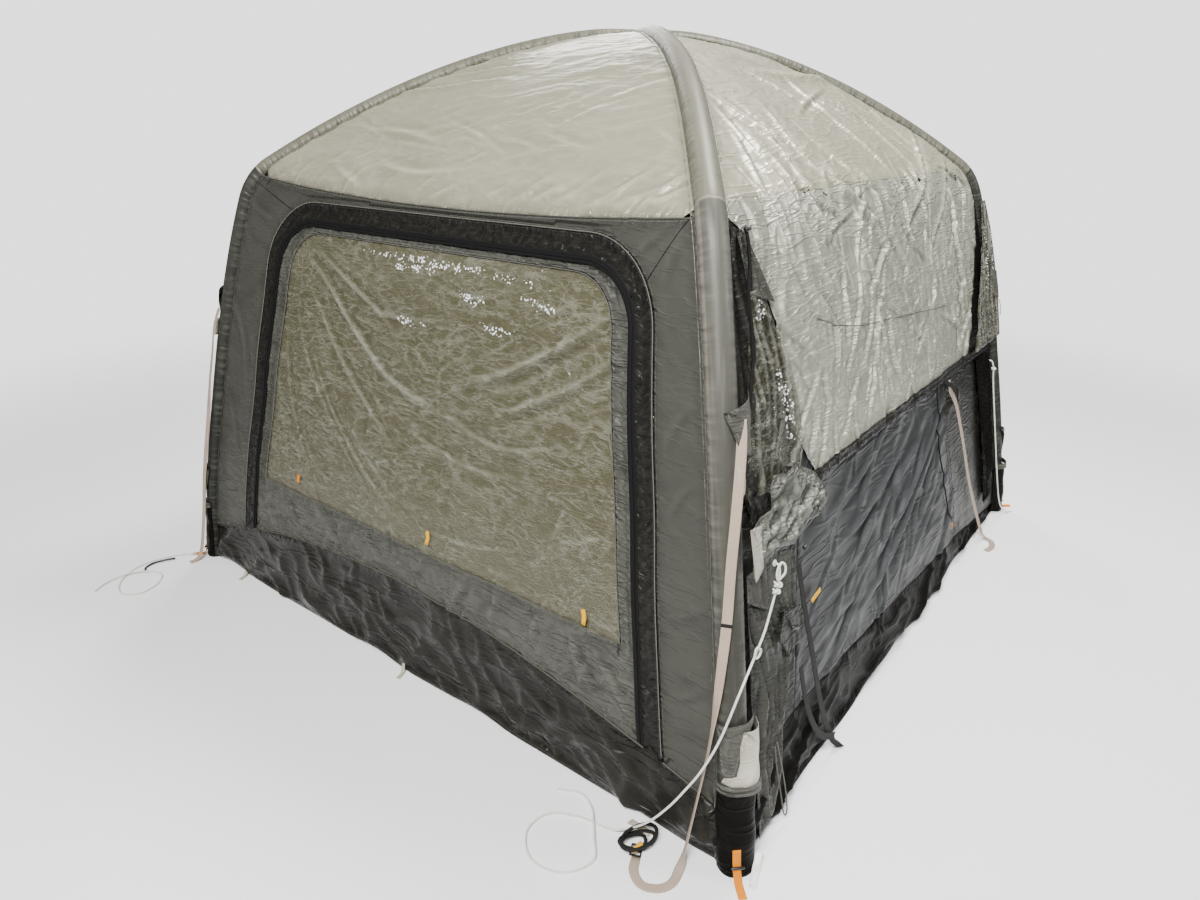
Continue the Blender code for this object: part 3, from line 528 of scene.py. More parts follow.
def fold(x, y, route, width, height):
    """A ridge along a route in the pattern, with a valley beside it, fading out at both ends."""
    points = smooth_route(route, 0.03)
    low, high = points.min(axis=0) - 4 * width, points.max(axis=0) + 4 * width
    near = (x > low[0]) & (x < high[0]) & (y > low[1]) & (y < high[1])
    total = np.zeros(np.shape(x))
    if not near.any():
        return total
    px, py = x[near], y[near]
    closest = np.full(px.shape, 9.0)
    signed, passed = np.zeros(px.shape), np.zeros(px.shape)
    for index, (start, end) in enumerate(zip(points, points[1:])):
        run = end - start
        length = np.linalg.norm(run)
        share = np.clip(((px - start[0]) * run[0] + (py - start[1]) * run[1]) / length ** 2, 0, 1)
        away = np.hypot(px - start[0] - run[0] * share, py - start[1] - run[1] * share)
        beside = (run[0] * (py - start[1]) - run[1] * (px - start[0])) / length
        closer = away < closest
        closest = np.where(closer, away, closest)
        signed = np.where(closer, np.sign(beside) * away, signed)
        passed = np.where(closer, index + share, passed)
    shape = signed / width
    ends = np.sin(math.pi * np.clip(passed / (len(points) - 1), 0, 1)) ** 0.8
    crest = np.exp(0.2 - 1.7 * np.sqrt(shape ** 2 + 0.014))
    total[near] = height * ends * (crest - 0.7 * np.exp(-(shape - 1.7) ** 2))
    return total


def scattered(side, count, box, turns, lengths, width, height, seed):
    """Straight creases at seeded places in a box across and up, each turned, sized and bent a little."""
    random = np.random.default_rng(seed)
    folds = []
    for _ in range(count):
        across, up = random.uniform(box[0], box[2]), random.uniform(box[1], box[3])
        turn = math.radians(random.choice(turns) + random.uniform(-14, 14))
        half = random.uniform(*lengths) / 2
        way = np.array((math.cos(turn), math.sin(turn)))
        middle = np.array((across, float(side.y_at(up))))
        bend = np.array((-way[1], way[0])) * random.uniform(-0.10, 0.10) * half
        grown = random.uniform(0.6, 1.3)
        folds.append((np.array((middle - way * half, middle + bend, middle + way * half)),
                      width * grown, height * grown))
    return folds


# Each rule: how many, their box across and up, turns, lengths, width, height and seed
SCATTER_RULES = {
    "right": (
        (84, (-0.95, 0.88, 0.95, 1.60), (104, 116, 72, 60, 95, 30, 145), (0.12, 0.46), 0.0095, 0.0062, 31),
        (16, (-0.75, 1.62, 0.75, 1.86), (120, 130, 105, 75), (0.20, 0.55), 0.012, 0.0050, 32),
        (18, (-0.80, 0.20, 0.60, 0.82), (25, 35, 50), (0.25, 0.60), 0.016, 0.0070, 33),
    ),
    "front": (
        (22, (-0.85, 1.57, 0.85, 1.66), (40, 50, 62), (0.07, 0.16), 0.011, 0.0042, 34),
        (14, (-0.60, 1.66, 0.60, 1.93), (-12, 8, 30), (0.15, 0.45), 0.016, 0.0035, 35),
        (46, (-0.80, 0.55, 0.85, 1.38), (-45, 35, -15, 80), (0.08, 0.26), 0.009, 0.0022, 36),
        (26, (-0.85, 0.30, 0.95, 0.47), (120, 65, 100, 20), (0.06, 0.20), 0.011, 0.0050, 37),
    ),
}
SCATTERED = {name: [crease for rule in rules for crease in scattered(SIDES[name], *rule)]
             for name, rules in SCATTER_RULES.items()}


def folds_of(side, x, y, folds, wider=1.0, higher=1.0):
    total = np.zeros(np.shape(x))
    for route, width, height in folds:
        total += fold(x, y, side.pattern(route), width * wider, height * higher)
    return total


def eave(across):
    """Height of the seam between roof and window wall, which sags between the beams."""
    return EAVE_HEIGHT + EAVE_RISE * (np.asarray(across, float) - EAVE_CENTRE) ** 2


def shared_relief(side, x, y):
    """The folds that run on across the seams of a side."""
    up = side.up_at(y)
    on_roof = fade((up - 1.52) / 0.06)
    reach = side.edge(y) - np.abs(x)
    tight = fade(reach / 0.14)
    seed = {"front": 3, "right": 7, "back": 11, "left": 15}[side.name]
    like = side.name if side.name in ROOF_FOLDS else {"back": "front", "left": "right"}[side.name]
    total = folds_of(side, x, y, ROOF_FOLDS[like], 1.0, 1.1)
    for route, width, height in SCATTERED[like]:
        total += fold(x, y, route, width, height)
    if side.name == "right":
        total += folds_of(side, x, y, SLATE_FOLDS, 1.4, 1.4)
        total += noise(x / 0.25, y / 0.25, seed + 5) * 0.007
        low = fade((up - 0.80) / 0.10) * fade((1.78 - up) / 0.2)
        total += low * (creases(x, y, 0.60, 0.13, 108, seed + 8, 1) - 0.3) * 0.006
    else:
        total += folds_of(side, x, y, WINDOW_FOLDS, 0.70, 0.55)
        total += folds_of(side, x, y, DOOR_FOLDS + SURROUND_FOLDS)
        total += noise(x / 0.30, y / 0.30, seed + 5) * 0.006
        total += on_roof * (creases(x, y, 0.40, 0.11, 12, seed + 1, 2) - 0.3) * 0.004
    total -= 0.010 * fade(1 - np.abs(up - 1.50) / 0.25) * fade(reach / 0.5)
    return total * tight


# Nets of triangles over an outline

def inside(points, outline):
    x, y = points[:, 0], points[:, 1]
    result = np.zeros(len(points), bool)
    for (x0, y0), (x1, y1) in zip(outline, np.roll(outline, -1, axis=0)):
        if y0 == y1:
            continue
        crosses = (y0 > y) != (y1 > y)
        result ^= crosses & (x < (x1 - x0) * (y - y0) / (y1 - y0) + x0)
    return result


def tree_of(points):
    tree = KDTree(len(points))
    for index, point in enumerate(points):
        tree.insert((point[0], point[1], 0), index)
    tree.balance()
    return tree


def nearest(tree, points):
    """Index and distance of the nearest point in a tree, for each point."""
    found = [tree.find((x, y, 0))[1:] for x, y in points.tolist()]
    return np.array([index for index, _ in found]), np.array([distance for _, distance in found])


def closed_resample(outline, spacing):
    """Points along a closed outline, its corners kept."""
    points = []
    for start, end in zip(outline, np.roll(outline, -1, axis=0)):
        count = max(math.ceil(np.linalg.norm(end - start) / spacing), 1)
        points.append(start + (end - start) * np.arange(count)[:, None] / count)
    return np.vstack(points)


# The way in the pattern that the painted light comes from, which upper slopes face, and the crest and slope
# that count as whole
TONE_WAY = (-0.55, 0.83)
TONE_CREST, TONE_SLOPE = 0.0075, 0.80


class Net:
    """A net of triangles inside some outlines and outside others, all in a flat pattern."""

    def __init__(self, keep, cut, step, hidden=None):
        keep = [np.array(outline, float) for outline in keep]
        cut = [np.array(outline, float) for outline in cut]
        rims = [closed_resample(outline, step) for outline in keep + cut]
        rim = np.vstack(rims)
        edges, first = [], 0
        for points in rims:
            count = len(points)
            edges += [(first + index, first + (index + 1) % count) for index in range(count)]
            first += count
        inner = self.lattice(keep[0], step)
        inner = inner[self.kept(inner, keep, cut)]
        inner = inner[nearest(tree_of(rim), inner)[1] > 0.6 * step]
        points = [Vector(point) for point in np.vstack([rim, inner]).tolist()]
        verts, _, faces = delaunay_2d_cdt(points, edges, [], 0, 1e-7)[:3]
        verts = np.array([tuple(point) for point in verts])
        faces = np.array([tuple(face) for face in faces])
        faces = faces[self.kept(verts[faces].mean(axis=1), keep, cut)]
        used, faces = np.unique(faces, return_inverse=True)
        self.points = verts[used]
        self.faces = faces.reshape(-1, 3)
        self.measure_edges(rims, hidden)

    @staticmethod
    def lattice(outline, step):
        low, high = outline.min(axis=0), outline.max(axis=0)
        rows = np.arange(low[1], high[1], step * math.sqrt(3) / 2)
        columns = np.arange(low[0], high[0], step)
        x = columns[None, :] + (np.arange(len(rows)) % 2)[:, None] * step / 2
        return np.stack([x.ravel(), np.repeat(rows, len(columns))], axis=1)

    @staticmethod
    def kept(points, keep, cut):
        result = np.ones(len(points), bool)
        for outline in keep:
            result &= inside(points, outline)
        for outline in cut:
            result &= ~inside(points, outline)
        return result

    def measure_edges(self, rims, hidden):
        """Each point's distance to the net's own edge, to its edge with a seam, and how far along that."""
        pairs = np.sort(np.vstack([self.faces[:, [0, 1]], self.faces[:, [1, 2]], self.faces[:, [2, 0]]]))
        pairs, counts = np.unique(pairs, axis=0, return_counts=True)
        self.pairs = pairs
        border = np.unique(pairs[counts == 1])
        places = np.concatenate([distances(rim) for rim in rims])
        self.from_edge = nearest(tree_of(self.points[border]), self.points)[1]
        if hidden is not None:
            border = border[np.abs(self.points[border, 1] - hidden) > 0.002]
        border_along = places[nearest(tree_of(np.vstack(rims)), self.points[border])[0]]
        index, self.from_seam = nearest(tree_of(self.points[border]), self.points)
        self.along = border_along[index]

    def values(self, lift):
        """What a cloth finish reads at each point; its tone is the painted light and shade of the relief.
        """
        return {"edge": self.from_seam, "along": self.along, "tone": self.tones(lift)}

    def area(self):
        a, b, c = (self.points[self.faces[:, corner]] for corner in range(3))
        return abs(np.cross(b - a, c - a)).sum() / 2

    def tones(self, lift):
        """Painted light from the relief: a painted highlight on crests and on slopes that face the way of
        the light, above 0, and painted shade in hollows and on slopes that face away, below 0, from -1 to
        1.
        """
        count = len(lift)
        first, second = self.pairs.T
        degree = np.bincount(self.pairs.ravel(), minlength=count)
        level = lift
        for _ in range(8):
            total = np.bincount(first, level[second], count) + np.bincount(second, level[first], count)
            level = total / degree
        a, b, c = (self.points[self.faces[:, corner]] for corner in range(3))
        rise = lift[self.faces[:, 1:]] - lift[self.faces[:, :1]]
        size = np.cross(b - a, c - a)
        slope_x = ((c - a)[:, 1] * rise[:, 0] - (b - a)[:, 1] * rise[:, 1]) / size
        slope_y = ((b - a)[:, 0] * rise[:, 1] - (c - a)[:, 0] * rise[:, 0]) / size
        # Slopes that face the way of the painted light get a painted highlight, the others painted shade
        facing = (slope_x * TONE_WAY[0] + slope_y * TONE_WAY[1]) * -1
        spread = sum(np.bincount(self.faces[:, corner], facing, count) for corner in range(3))
        shares = sum(np.bincount(self.faces[:, corner], minlength=count) for corner in range(3))
        return np.clip((lift - level) / TONE_CREST + spread / shares / TONE_SLOPE, -1, 1)


# Objects

def select_only(obj):
    bpy.ops.object.select_all(action="DESELECT")
    obj.select_set(True)
    bpy.context.view_layer.objects.active = obj


def apply_modifiers(obj):
    select_only(obj)
    for step in list(obj.modifiers):
        bpy.ops.object.modifier_apply(modifier=step.name)


def set_value(obj, name, value):
    """A named value at each point of a mesh, for its finish to read."""
    attribute = obj.data.attributes.new(name, "FLOAT", "POINT")
    attribute.data.foreach_set("value", np.asarray(value, np.float32).ravel())


def points_of(obj):
    points = np.zeros(len(obj.data.vertices) * 3)
    obj.data.vertices.foreach_get("co", points)
    return points.reshape(-1, 3)


def mesh_object(name, points, faces, uv, values=None):
    """A smooth mesh object at the origin, with a uv map called pattern and named values at its points."""
    mesh = bpy.data.meshes.new(name)
    mesh.from_pydata([tuple(point) for point in np.asarray(points).tolist()], [],
                     [tuple(face) for face in (faces.tolist() if hasattr(faces, "tolist") else faces)])
    layer = mesh.uv_layers.new(name="pattern")
    corners = np.zeros(len(mesh.loops), int)
    mesh.loops.foreach_get("vertex_index", corners)
    layer.data.foreach_set("uv", np.asarray(uv, np.float32)[corners].ravel())
    mesh.shade_smooth()
    obj = bpy.data.objects.new(name, mesh)
    bpy.context.scene.collection.objects.link(obj)
    for key, value in (values or {}).items():
        set_value(obj, key, value)
    return obj


def settle(obj, finish_name, slot, nodes=()):
    """Gives a piece its finish, and has it ride and stand for its nodes. Its slot is not used."""
    obj.data.materials.append(finish(finish_name))
    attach(obj, "root")
    if nodes:
        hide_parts(*nodes)
    return obj


def thicken(obj, thickness):
    step = obj.modifiers.new("thickness", "SOLIDIFY")
    step.thickness = thickness
    step.offset = -1
    apply_modifiers(obj)


SLEEVE_NAMES = ("sleeve_near_diagonal", "sleeve_cross_diagonal")
FINE_SLOTS = ("roof_cloth", "tunnel_cloth", "clear_window")
FINE_SHARE = 0.84
STRIP_SHARE = 0.32


def panel(name, side_name, keep, cut, proud, finish_name, slot, nodes=(), own=None,
          strip=None, step=None, thickness=None, shared=True, hidden=None):
    """A cloth panel of one side, cut from outlines in its pattern. Its seam at hidden isn't shown."""
    side = SIDES[side_name]
    if side_name not in ("front", "right"):
        step = max(step or 0, sizes().far_cloth_step)
    elif slot in FINE_SLOTS:
        step = sizes().cloth_step * FINE_SHARE
    net = Net(keep, cut, step or sizes().cloth_step, hidden)
    x, y = net.points.T
    lift = np.full(len(x), float(proud)) if np.isscalar(proud) else proud(side, x, y)
    if shared:
        lift = lift + shared_relief(side, x, y)
    if own is not None:
        lift = lift + own(side, x, y, net) * fade(net.from_edge / 0.02)
    obj = mesh_object(name, bowed(side.place(x, y, lift)), net.faces, net.points, net.values(lift))
    thicken(obj, thickness or sizes().cloth_thickness)
    settle(obj, finish_name, slot, nodes)
    spread = net.points.max(axis=0) - net.points.min(axis=0)
    area = net.area()
    if strip is None and area < STRIP_SHARE * spread.prod():
        strip = SURROUND_STRIP
    return obj


def swept(name, points, sections, uv_across):
    """A closed tube whose ring at each point is a section given in space."""
    rows, count = sections.shape[:2]
    faces = []
    for row in range(rows - 1):
        for index in range(count):
            following = (index + 1) % count
            faces.append((row * count + index, (row + 1) * count + index,
                          (row + 1) * count + following, row * count + following))
    faces.append(tuple(range(count)))
    faces.append(tuple((rows - 1) * count + index for index in reversed(range(count))))
    uv = np.stack([np.tile(uv_across, rows), np.repeat(distances(points), count)], axis=1)
    return mesh_object(name, sections.reshape(-1, 3), faces, uv)


def runs_of(points):
    runs = np.gradient(points, axis=0)
    return runs / np.linalg.norm(runs, axis=1)[:, None]


TUBE_START = np.array((0.3, 0.5, 0.8))


def carried_sides(runs):
    """Directions square to a line, carried along it without twist."""
    side = TUBE_START
    sides = []
    for run in runs:
        side = side - run * (side @ run)
        side = side / np.linalg.norm(side)
        sides.append(side)
    return np.array(sides)


def tube(name, points, radius, sides=10):
    """A round closed tube along points."""
    points = np.array(points, float)
    runs = runs_of(points)
    first = carried_sides(runs)
    second = np.cross(runs, first)
    angles = np.linspace(0, 2 * math.pi, sides, endpoint=False)
    rings = (points[:, None] + first[:, None] * np.cos(angles)[None, :, None] * radius
             + second[:, None] * np.sin(angles)[None, :, None] * radius)
    return swept(name, points, rings, angles * radius)


def off_leg(points):
    """The level way from the nearest leg's centre line out to each point."""
    share = 1 - points[:, 2] / SHOULDER[2]
    legs = np.array([leg_point(s) for s in share])[:, :2]
    ways = points[:, :2] - legs * np.sign(points[:, :2])
    ways = ways / np.linalg.norm(ways, axis=1)[:, None]
    return np.hstack([ways, np.zeros((len(ways), 1))])


def ribbon(name, points, width, thickness, facings):
    """A flat strap whose face looks along the facings, with rounded edges."""
    runs = runs_of(points)
    facings = facings - runs * (facings * runs).sum(axis=1)[:, None]
    facings = facings / np.linalg.norm(facings, axis=1)[:, None]
    across = np.cross(runs, facings)
    half, thin = width / 2, thickness / 2
    outline = [(-half, 0), (-half * 0.94, thin), (-half * 0.5, thin), (0, thin), (half * 0.5, thin),
               (half * 0.94, thin), (half, 0), (half * 0.94, -thin), (0, -thin), (-half * 0.94, -thin)]
    sections = np.stack([points + across * side + facings * rise for side, rise in outline], axis=1)
    return swept(name, points, sections[:, ::-1], np.array([side for side, _ in outline[::-1]]))


# Finishes

class Finish:
    """A material with short calls for the nodes that the finishes share. Heights are in metres."""

    def __init__(self, name, roughness, **sockets):
        self.material = bpy.data.materials.new(name)
        self.material.use_nodes = True
        self.tree = self.material.node_tree
        self.shader = self.tree.nodes["Principled BSDF"]
        self.shader.inputs["Roughness"].default_value = roughness
        for key, value in sockets.items():
            self.shader.inputs[key.replace("_", " ").title().replace("Ior", "IOR")].default_value = value
        self.heights = []

    def node(self, kind, inputs=None, output=0, **settings):
        made = self.tree.nodes.new("ShaderNode" + kind)
        for key, value in settings.items():
            setattr(made, key, value)
        for key, value in (inputs or {}).items():
            if isinstance(value, bpy.types.NodeSocket):
                self.tree.links.new(value, made.inputs[key])
            else:
                made.inputs[key].default_value = value
        return made.outputs[output]

    def maths(self, operation, *values):
        return self.node("Math", dict(enumerate(values)), operation=operation)

    def times(self, first, second):
        return self.maths("MULTIPLY", first, second)

    def value(self, name):
        return self.node("Attribute", output="Fac", attribute_type="GEOMETRY", attribute_name=name)

    def pattern(self, scale=(1, 1, 1), turn=0.0, place=(0, 0, 0)):
        """The piece's flat pattern in metres, turned and scaled."""
        uv = self.node("UVMap", uv_map="pattern")
        return self.node("Mapping", {"Vector": uv, "Scale": scale, "Location": place,
                                     "Rotation": (0, 0, math.radians(turn))})

    def objects(self):
        return self.node("TexCoord", output="Object")

    def noise(self, vector, scale, detail=2.0, distortion=0.0, roughness=0.5):
        return self.node("TexNoise", {"Vector": vector, "Scale": scale, "Detail": detail,
                                      "Distortion": distortion, "Roughness": roughness})

    def peak(self, value, half):
        """1 where a value is 0, falling straight to 0 at half."""
        return self.maths("SUBTRACT", 1.0, self.maths("MINIMUM", self.maths("DIVIDE", value, half), 1.0))

    def crease_lines(self, vector, scale):
        """Thin lines where a noise crosses its middle, broken into stretches by another."""
        away = self.maths("ABSOLUTE", self.maths("SUBTRACT", self.noise(vector, scale, 1.0), 0.5))
        kept = self.band(self.noise(vector, scale * 0.45, 1.0), 0.44, 0.58)
        return self.times(self.peak(away, 0.055), kept)

    def storage_lines(self, vector, scale, half=0.045):
        """Straight creases left over from packing, along the edges of wide irregular cells."""
        edge = self.node("TexVoronoi", {"Vector": vector, "Scale": scale}, output="Distance",
                         voronoi_dimensions="2D", feature="DISTANCE_TO_EDGE")
        kept = self.band(self.noise(vector, scale * 0.9, 1.0), 0.45, 0.60)
        return self.times(self.peak(edge, half), kept)

    def band(self, value, low, high):
        """0 below low and 1 above high, smooth between."""
        return self.node("MapRange", {"Value": value, "From Min": low, "From Max": high},
                         interpolation_type="SMOOTHSTEP")

    def toned(self, tint, light, dark, most):
        """Painted light: a tint made lighter on the crests and upper slopes of the folds, a painted
        highlight, and darker in their hollows and lower slopes, painted shade.
        """
        tone = self.value("tone")
        tint = self.over(tint, self.maths("MAXIMUM", tone, 0.0), most, light)
        return self.over(tint, self.maths("MINIMUM", tone, 0.0), -most, dark)

    def near_value(self, value, at, half):
        """1 where a value is within half of a place, 0 elsewhere."""
        away = self.maths("ABSOLUTE", self.maths("SUBTRACT", value, at))
        return self.maths("SUBTRACT", 1.0, self.band(away, half * 0.6, half * 1.2))

    def mix(self, share, first, second):
        colours_in = [(*value, 1.0) if isinstance(value, (tuple, list)) else value
                      for value in (first, second)]
        made = self.tree.nodes.new("ShaderNodeMix")
        made.data_type = "RGBA"
        for socket, value in zip((made.inputs[0], made.inputs[6], made.inputs[7]), [share] + colours_in):
            if isinstance(value, bpy.types.NodeSocket):
                self.tree.links.new(value, socket)
            else:
                socket.default_value = value
        return made.outputs[2]

    def over(self, tint, value, most, other):
        """A tint with another over it, to a share of most where a value is 1."""
        return self.mix(self.times(value, most), tint, other)

    def add_height(self, value, height):
        self.heights.append(self.times(value, height))

    def done(self, colour, roughness=None, alpha=None):
        normal = None
        if self.heights:
            total = self.heights[0]
            for height in self.heights[1:]:
                total = self.maths("ADD", total, height)
            normal = self.node("Bump", {"Height": total, "Distance": 1.0, "Strength": 1.0},
                               output="Normal")
        for socket, value in (("Base Color", colour), ("Roughness", roughness), ("Alpha", alpha),
                              ("Normal", normal)):
            if value is not None:
                self.tree.links.new(value, self.shader.inputs[socket])
        return self.material


def shaded(colour, share):
    return tuple(min(channel * share, 1.0) for channel in colour)


def seam_details(made, colour, thread, pucker):
    """Puckers that run in from the edge of a piece, the cloth darker near that edge, and a row of stitches
    beside it.
    """
    edge, along = made.value("edge"), made.value("along")
    slanted = made.maths("ADD", made.maths("DIVIDE", along, 0.016), made.maths("DIVIDE", edge, 0.03))
    place = made.node("CombineXYZ", {"X": slanted, "Y": made.maths("DIVIDE", edge, 0.05)})
    near = made.maths("SUBTRACT", 1.0, made.band(edge, 0.0, 0.044))
    made.add_height(made.times(made.noise(place, 1.0, 1.0), near), pucker * 4)
    line = made.near_value(edge, 0.0065, 0.0010)
    dash = made.band(made.maths("PINGPONG", along, 0.0030), 0.0008, 0.0014)
    made.add_height(line, -0.0003)
    # The cloth darker near the edge, among the puckers
    dark = made.over(colour, near, 0.25, shaded(thread, 0.12))
    return made.over(dark, made.times(line, dash), 0.7, thread)


def cloth_finish(name, colour, thread=0.35, roughness=0.42, creased=0.0016, size=9.0,
                 turns=(15, 75, -50), swell=0.004, swell_size=5.0, tone=0.12, pucker=0.0016,
                 metallic=0.0, specular=0.25, crests=0.25, hollows=0.30, relief_light_share=0.6, wear_and_highlight=1.8):
    """Coated cloth: broad tones, thin crease lines with a painted highlight, painted shade in the hollows
    of its bumps, painted light and shade from its folds, a woven grain, puckers and stitches at its edges.
    """
    made = Finish(name, roughness, metallic=metallic, specular_ior_level=specular)
    pattern = made.pattern()
    ridges = made.storage_lines(made.pattern((1, 1.6, 1), turns[0]), size * 1.1)
    for index, turn in enumerate(turns):
        slanted = made.pattern((1, 5.0, 1), turn, (index * 3.1, index * 1.7, index * 0.9))
        line = made.crease_lines(slanted, size * (1 + 0.35 * index))
        made.add_height(line, creased)
        ridges = made.maths("MAXIMUM", ridges, line)
    made.add_height(ridges, creased)
    facets = made.noise(made.pattern((1, 1.8, 1), turns[0]), swell_size, 1.5, 0.6, 0.4)
    made.add_height(facets, swell)
    made.add_height(made.noise(pattern, 700.0, 1.0), 0.00012)
    tint = made.mix(made.noise(pattern, 3.0, 3.0), shaded(colour, 1 - tone), shaded(colour, 1 + tone))
    # Painted shade in the hollows of the bumps
    tint = made.over(tint, made.band(facets, 0.50, 0.30), hollows, shaded(colour, 0.45))
    # Painted highlight along the crease lines
    tint = made.over(tint, ridges, crests, shaded(colour, wear_and_highlight))
    # Painted light from the folds: a painted highlight on crests and upper slopes, painted shade in hollows
    # and lower slopes
    tint = made.toned(tint, shaded(colour, wear_and_highlight), shaded(colour, 0.35), relief_light_share)
    tint = made.over(tint, made.noise(pattern, 450.0, 2.0), 0.14, shaded(colour, 1.35))
    tint = seam_details(made, tint, shaded(colour, 1 / thread), pucker)
    rough = made.maths("MULTIPLY_ADD", made.noise(pattern, 18.0, 3.0), 0.22, roughness - 0.11)
    return made.done(tint, rough)


# The pale colour of the films' painted highlights
FILM_WHITE = (0.60, 0.60, 0.50)


def film_finish(name, colour, alpha, glint_share=0.95):
    """Clear flexible film: scratchy creases with a painted highlight, painted light and shade from its
    relief, and painted white glints where the value gleam is high.
    """
    made = Finish(name, 0.15, ior=1.5, specular_ior_level=0.5)
    pattern = made.pattern()
    scratch = 0.0
    for index, (turn, size) in enumerate(((-35, 11.0), (15, 18.0), (70, 26.0))):
        line = made.crease_lines(made.pattern((1, 2.6, 1), turn, (index * 2.3, 0, 0)), size)
        made.add_height(line, 0.0013)
        scratch = made.maths("MAXIMUM", scratch, line)
    for turn, size in ((0, 5.0), (40, 9.0)):
        line = made.storage_lines(made.pattern((1, 1.5, 1), turn), size, 0.020)
        made.add_height(line, 0.0008)
        scratch = made.maths("MAXIMUM", scratch, line)
    made.add_height(made.noise(pattern, 26.0, 2.0, 0.5), 0.0006)
    crinkles = made.noise(made.pattern((1, 2.2, 1), -20), 70.0, 3.0, 0.8)
    made.add_height(crinkles, 0.0006)
    # Painted glints: opaque white spots where the value gleam is high
    cells = made.node("TexVoronoi", {"Vector": pattern, "Scale": 120.0, "Randomness": 1.0},
                      output="Distance", feature="F1")
    wanted = made.times(made.value("gleam"), made.noise(pattern, 28.0, 2.0))
    spot = made.maths("LESS_THAN", cells, made.times(made.band(wanted, 0.30, 0.62), 0.42))
    white = made.times(spot, glint_share)
    # Painted highlight along the scratches and crinkles, and painted light and shade from the relief
    tint = made.over(colour, scratch, 0.20, FILM_WHITE)
    tint = made.over(tint, made.band(crinkles, 0.56, 0.72), 0.06, FILM_WHITE)
    tint = made.toned(tint, FILM_WHITE, shaded(colour, 0.2), 0.45)
    tint = made.mix(white, tint, (1.0, 1.0, 1.0))
    clear = made.maths("MAXIMUM", made.maths("MULTIPLY_ADD", scratch, 0.08, alpha), white)
    return made.done(tint, None, clear)


def waves(made, turn, scale, **settings):
    """Straight bands in the pattern, turned from across."""
    return made.node("TexWave", {"Vector": made.pattern(turn=turn), "Scale": scale}, output="Fac",
                     wave_type="BANDS", **settings)


def webbing_finish(name, colour):
    """Woven webbing: ribs along, a twill across and broad tone differences."""
    made = Finish(name, 0.75, specular_ior_level=0.15)
    twill = made.node("TexWave", {"Vector": made.pattern(turn=35), "Scale": 90.0, "Distortion": 0.4},
                      output="Fac", wave_type="BANDS")
    made.add_height(twill, 0.0003)
    made.add_height(waves(made, 0, 70.0, bands_direction="X"), 0.0002)
    broad = made.noise(made.pattern(), 14.0, 3.0)
    tint = made.mix(broad, shaded(colour, 0.82), shaded(colour, 1.15))
    return made.done(made.over(tint, twill, 0.25, shaded(colour, 0.65)))


def line_finish(name, colour):
    """Braided cord: two crossing spirals of strands."""
    made = Finish(name, 0.65, sheen_weight=0.2)
    braid = made.maths("MAXIMUM", waves(made, 40, 120.0), waves(made, -40, 120.0))
    made.add_height(braid, 0.0005)
    return made.done(made.mix(braid, shaded(colour, 0.72), shaded(colour, 1.1)))


def plastic_finish(name, colour):
    """Moulded plastic with a faint texture and darker spots of wear."""
    made = Finish(name, 0.35)
    place = made.objects()
    made.add_height(made.noise(place, 900.0, 2.0), 0.00008)
    wear_and_highlight = made.noise(place, 60.0, 3.0)
    tint = made.mix(made.band(wear_and_highlight, 0.45, 0.75), colour, shaded(colour, 0.75))
    return made.done(tint, made.maths("MULTIPLY_ADD", wear_and_highlight, 0.25, 0.25))


# Where the shoulder comes down a sleeve, and the places across it of its rim and its stitches
SHOULDER_DOWN = float(np.interp(-1.598, -BEAM_LINE[:, 2], distances(BEAM_LINE)))
SLEEVE_RIM, SLEEVE_STITCHES = 0.0385, 0.0325


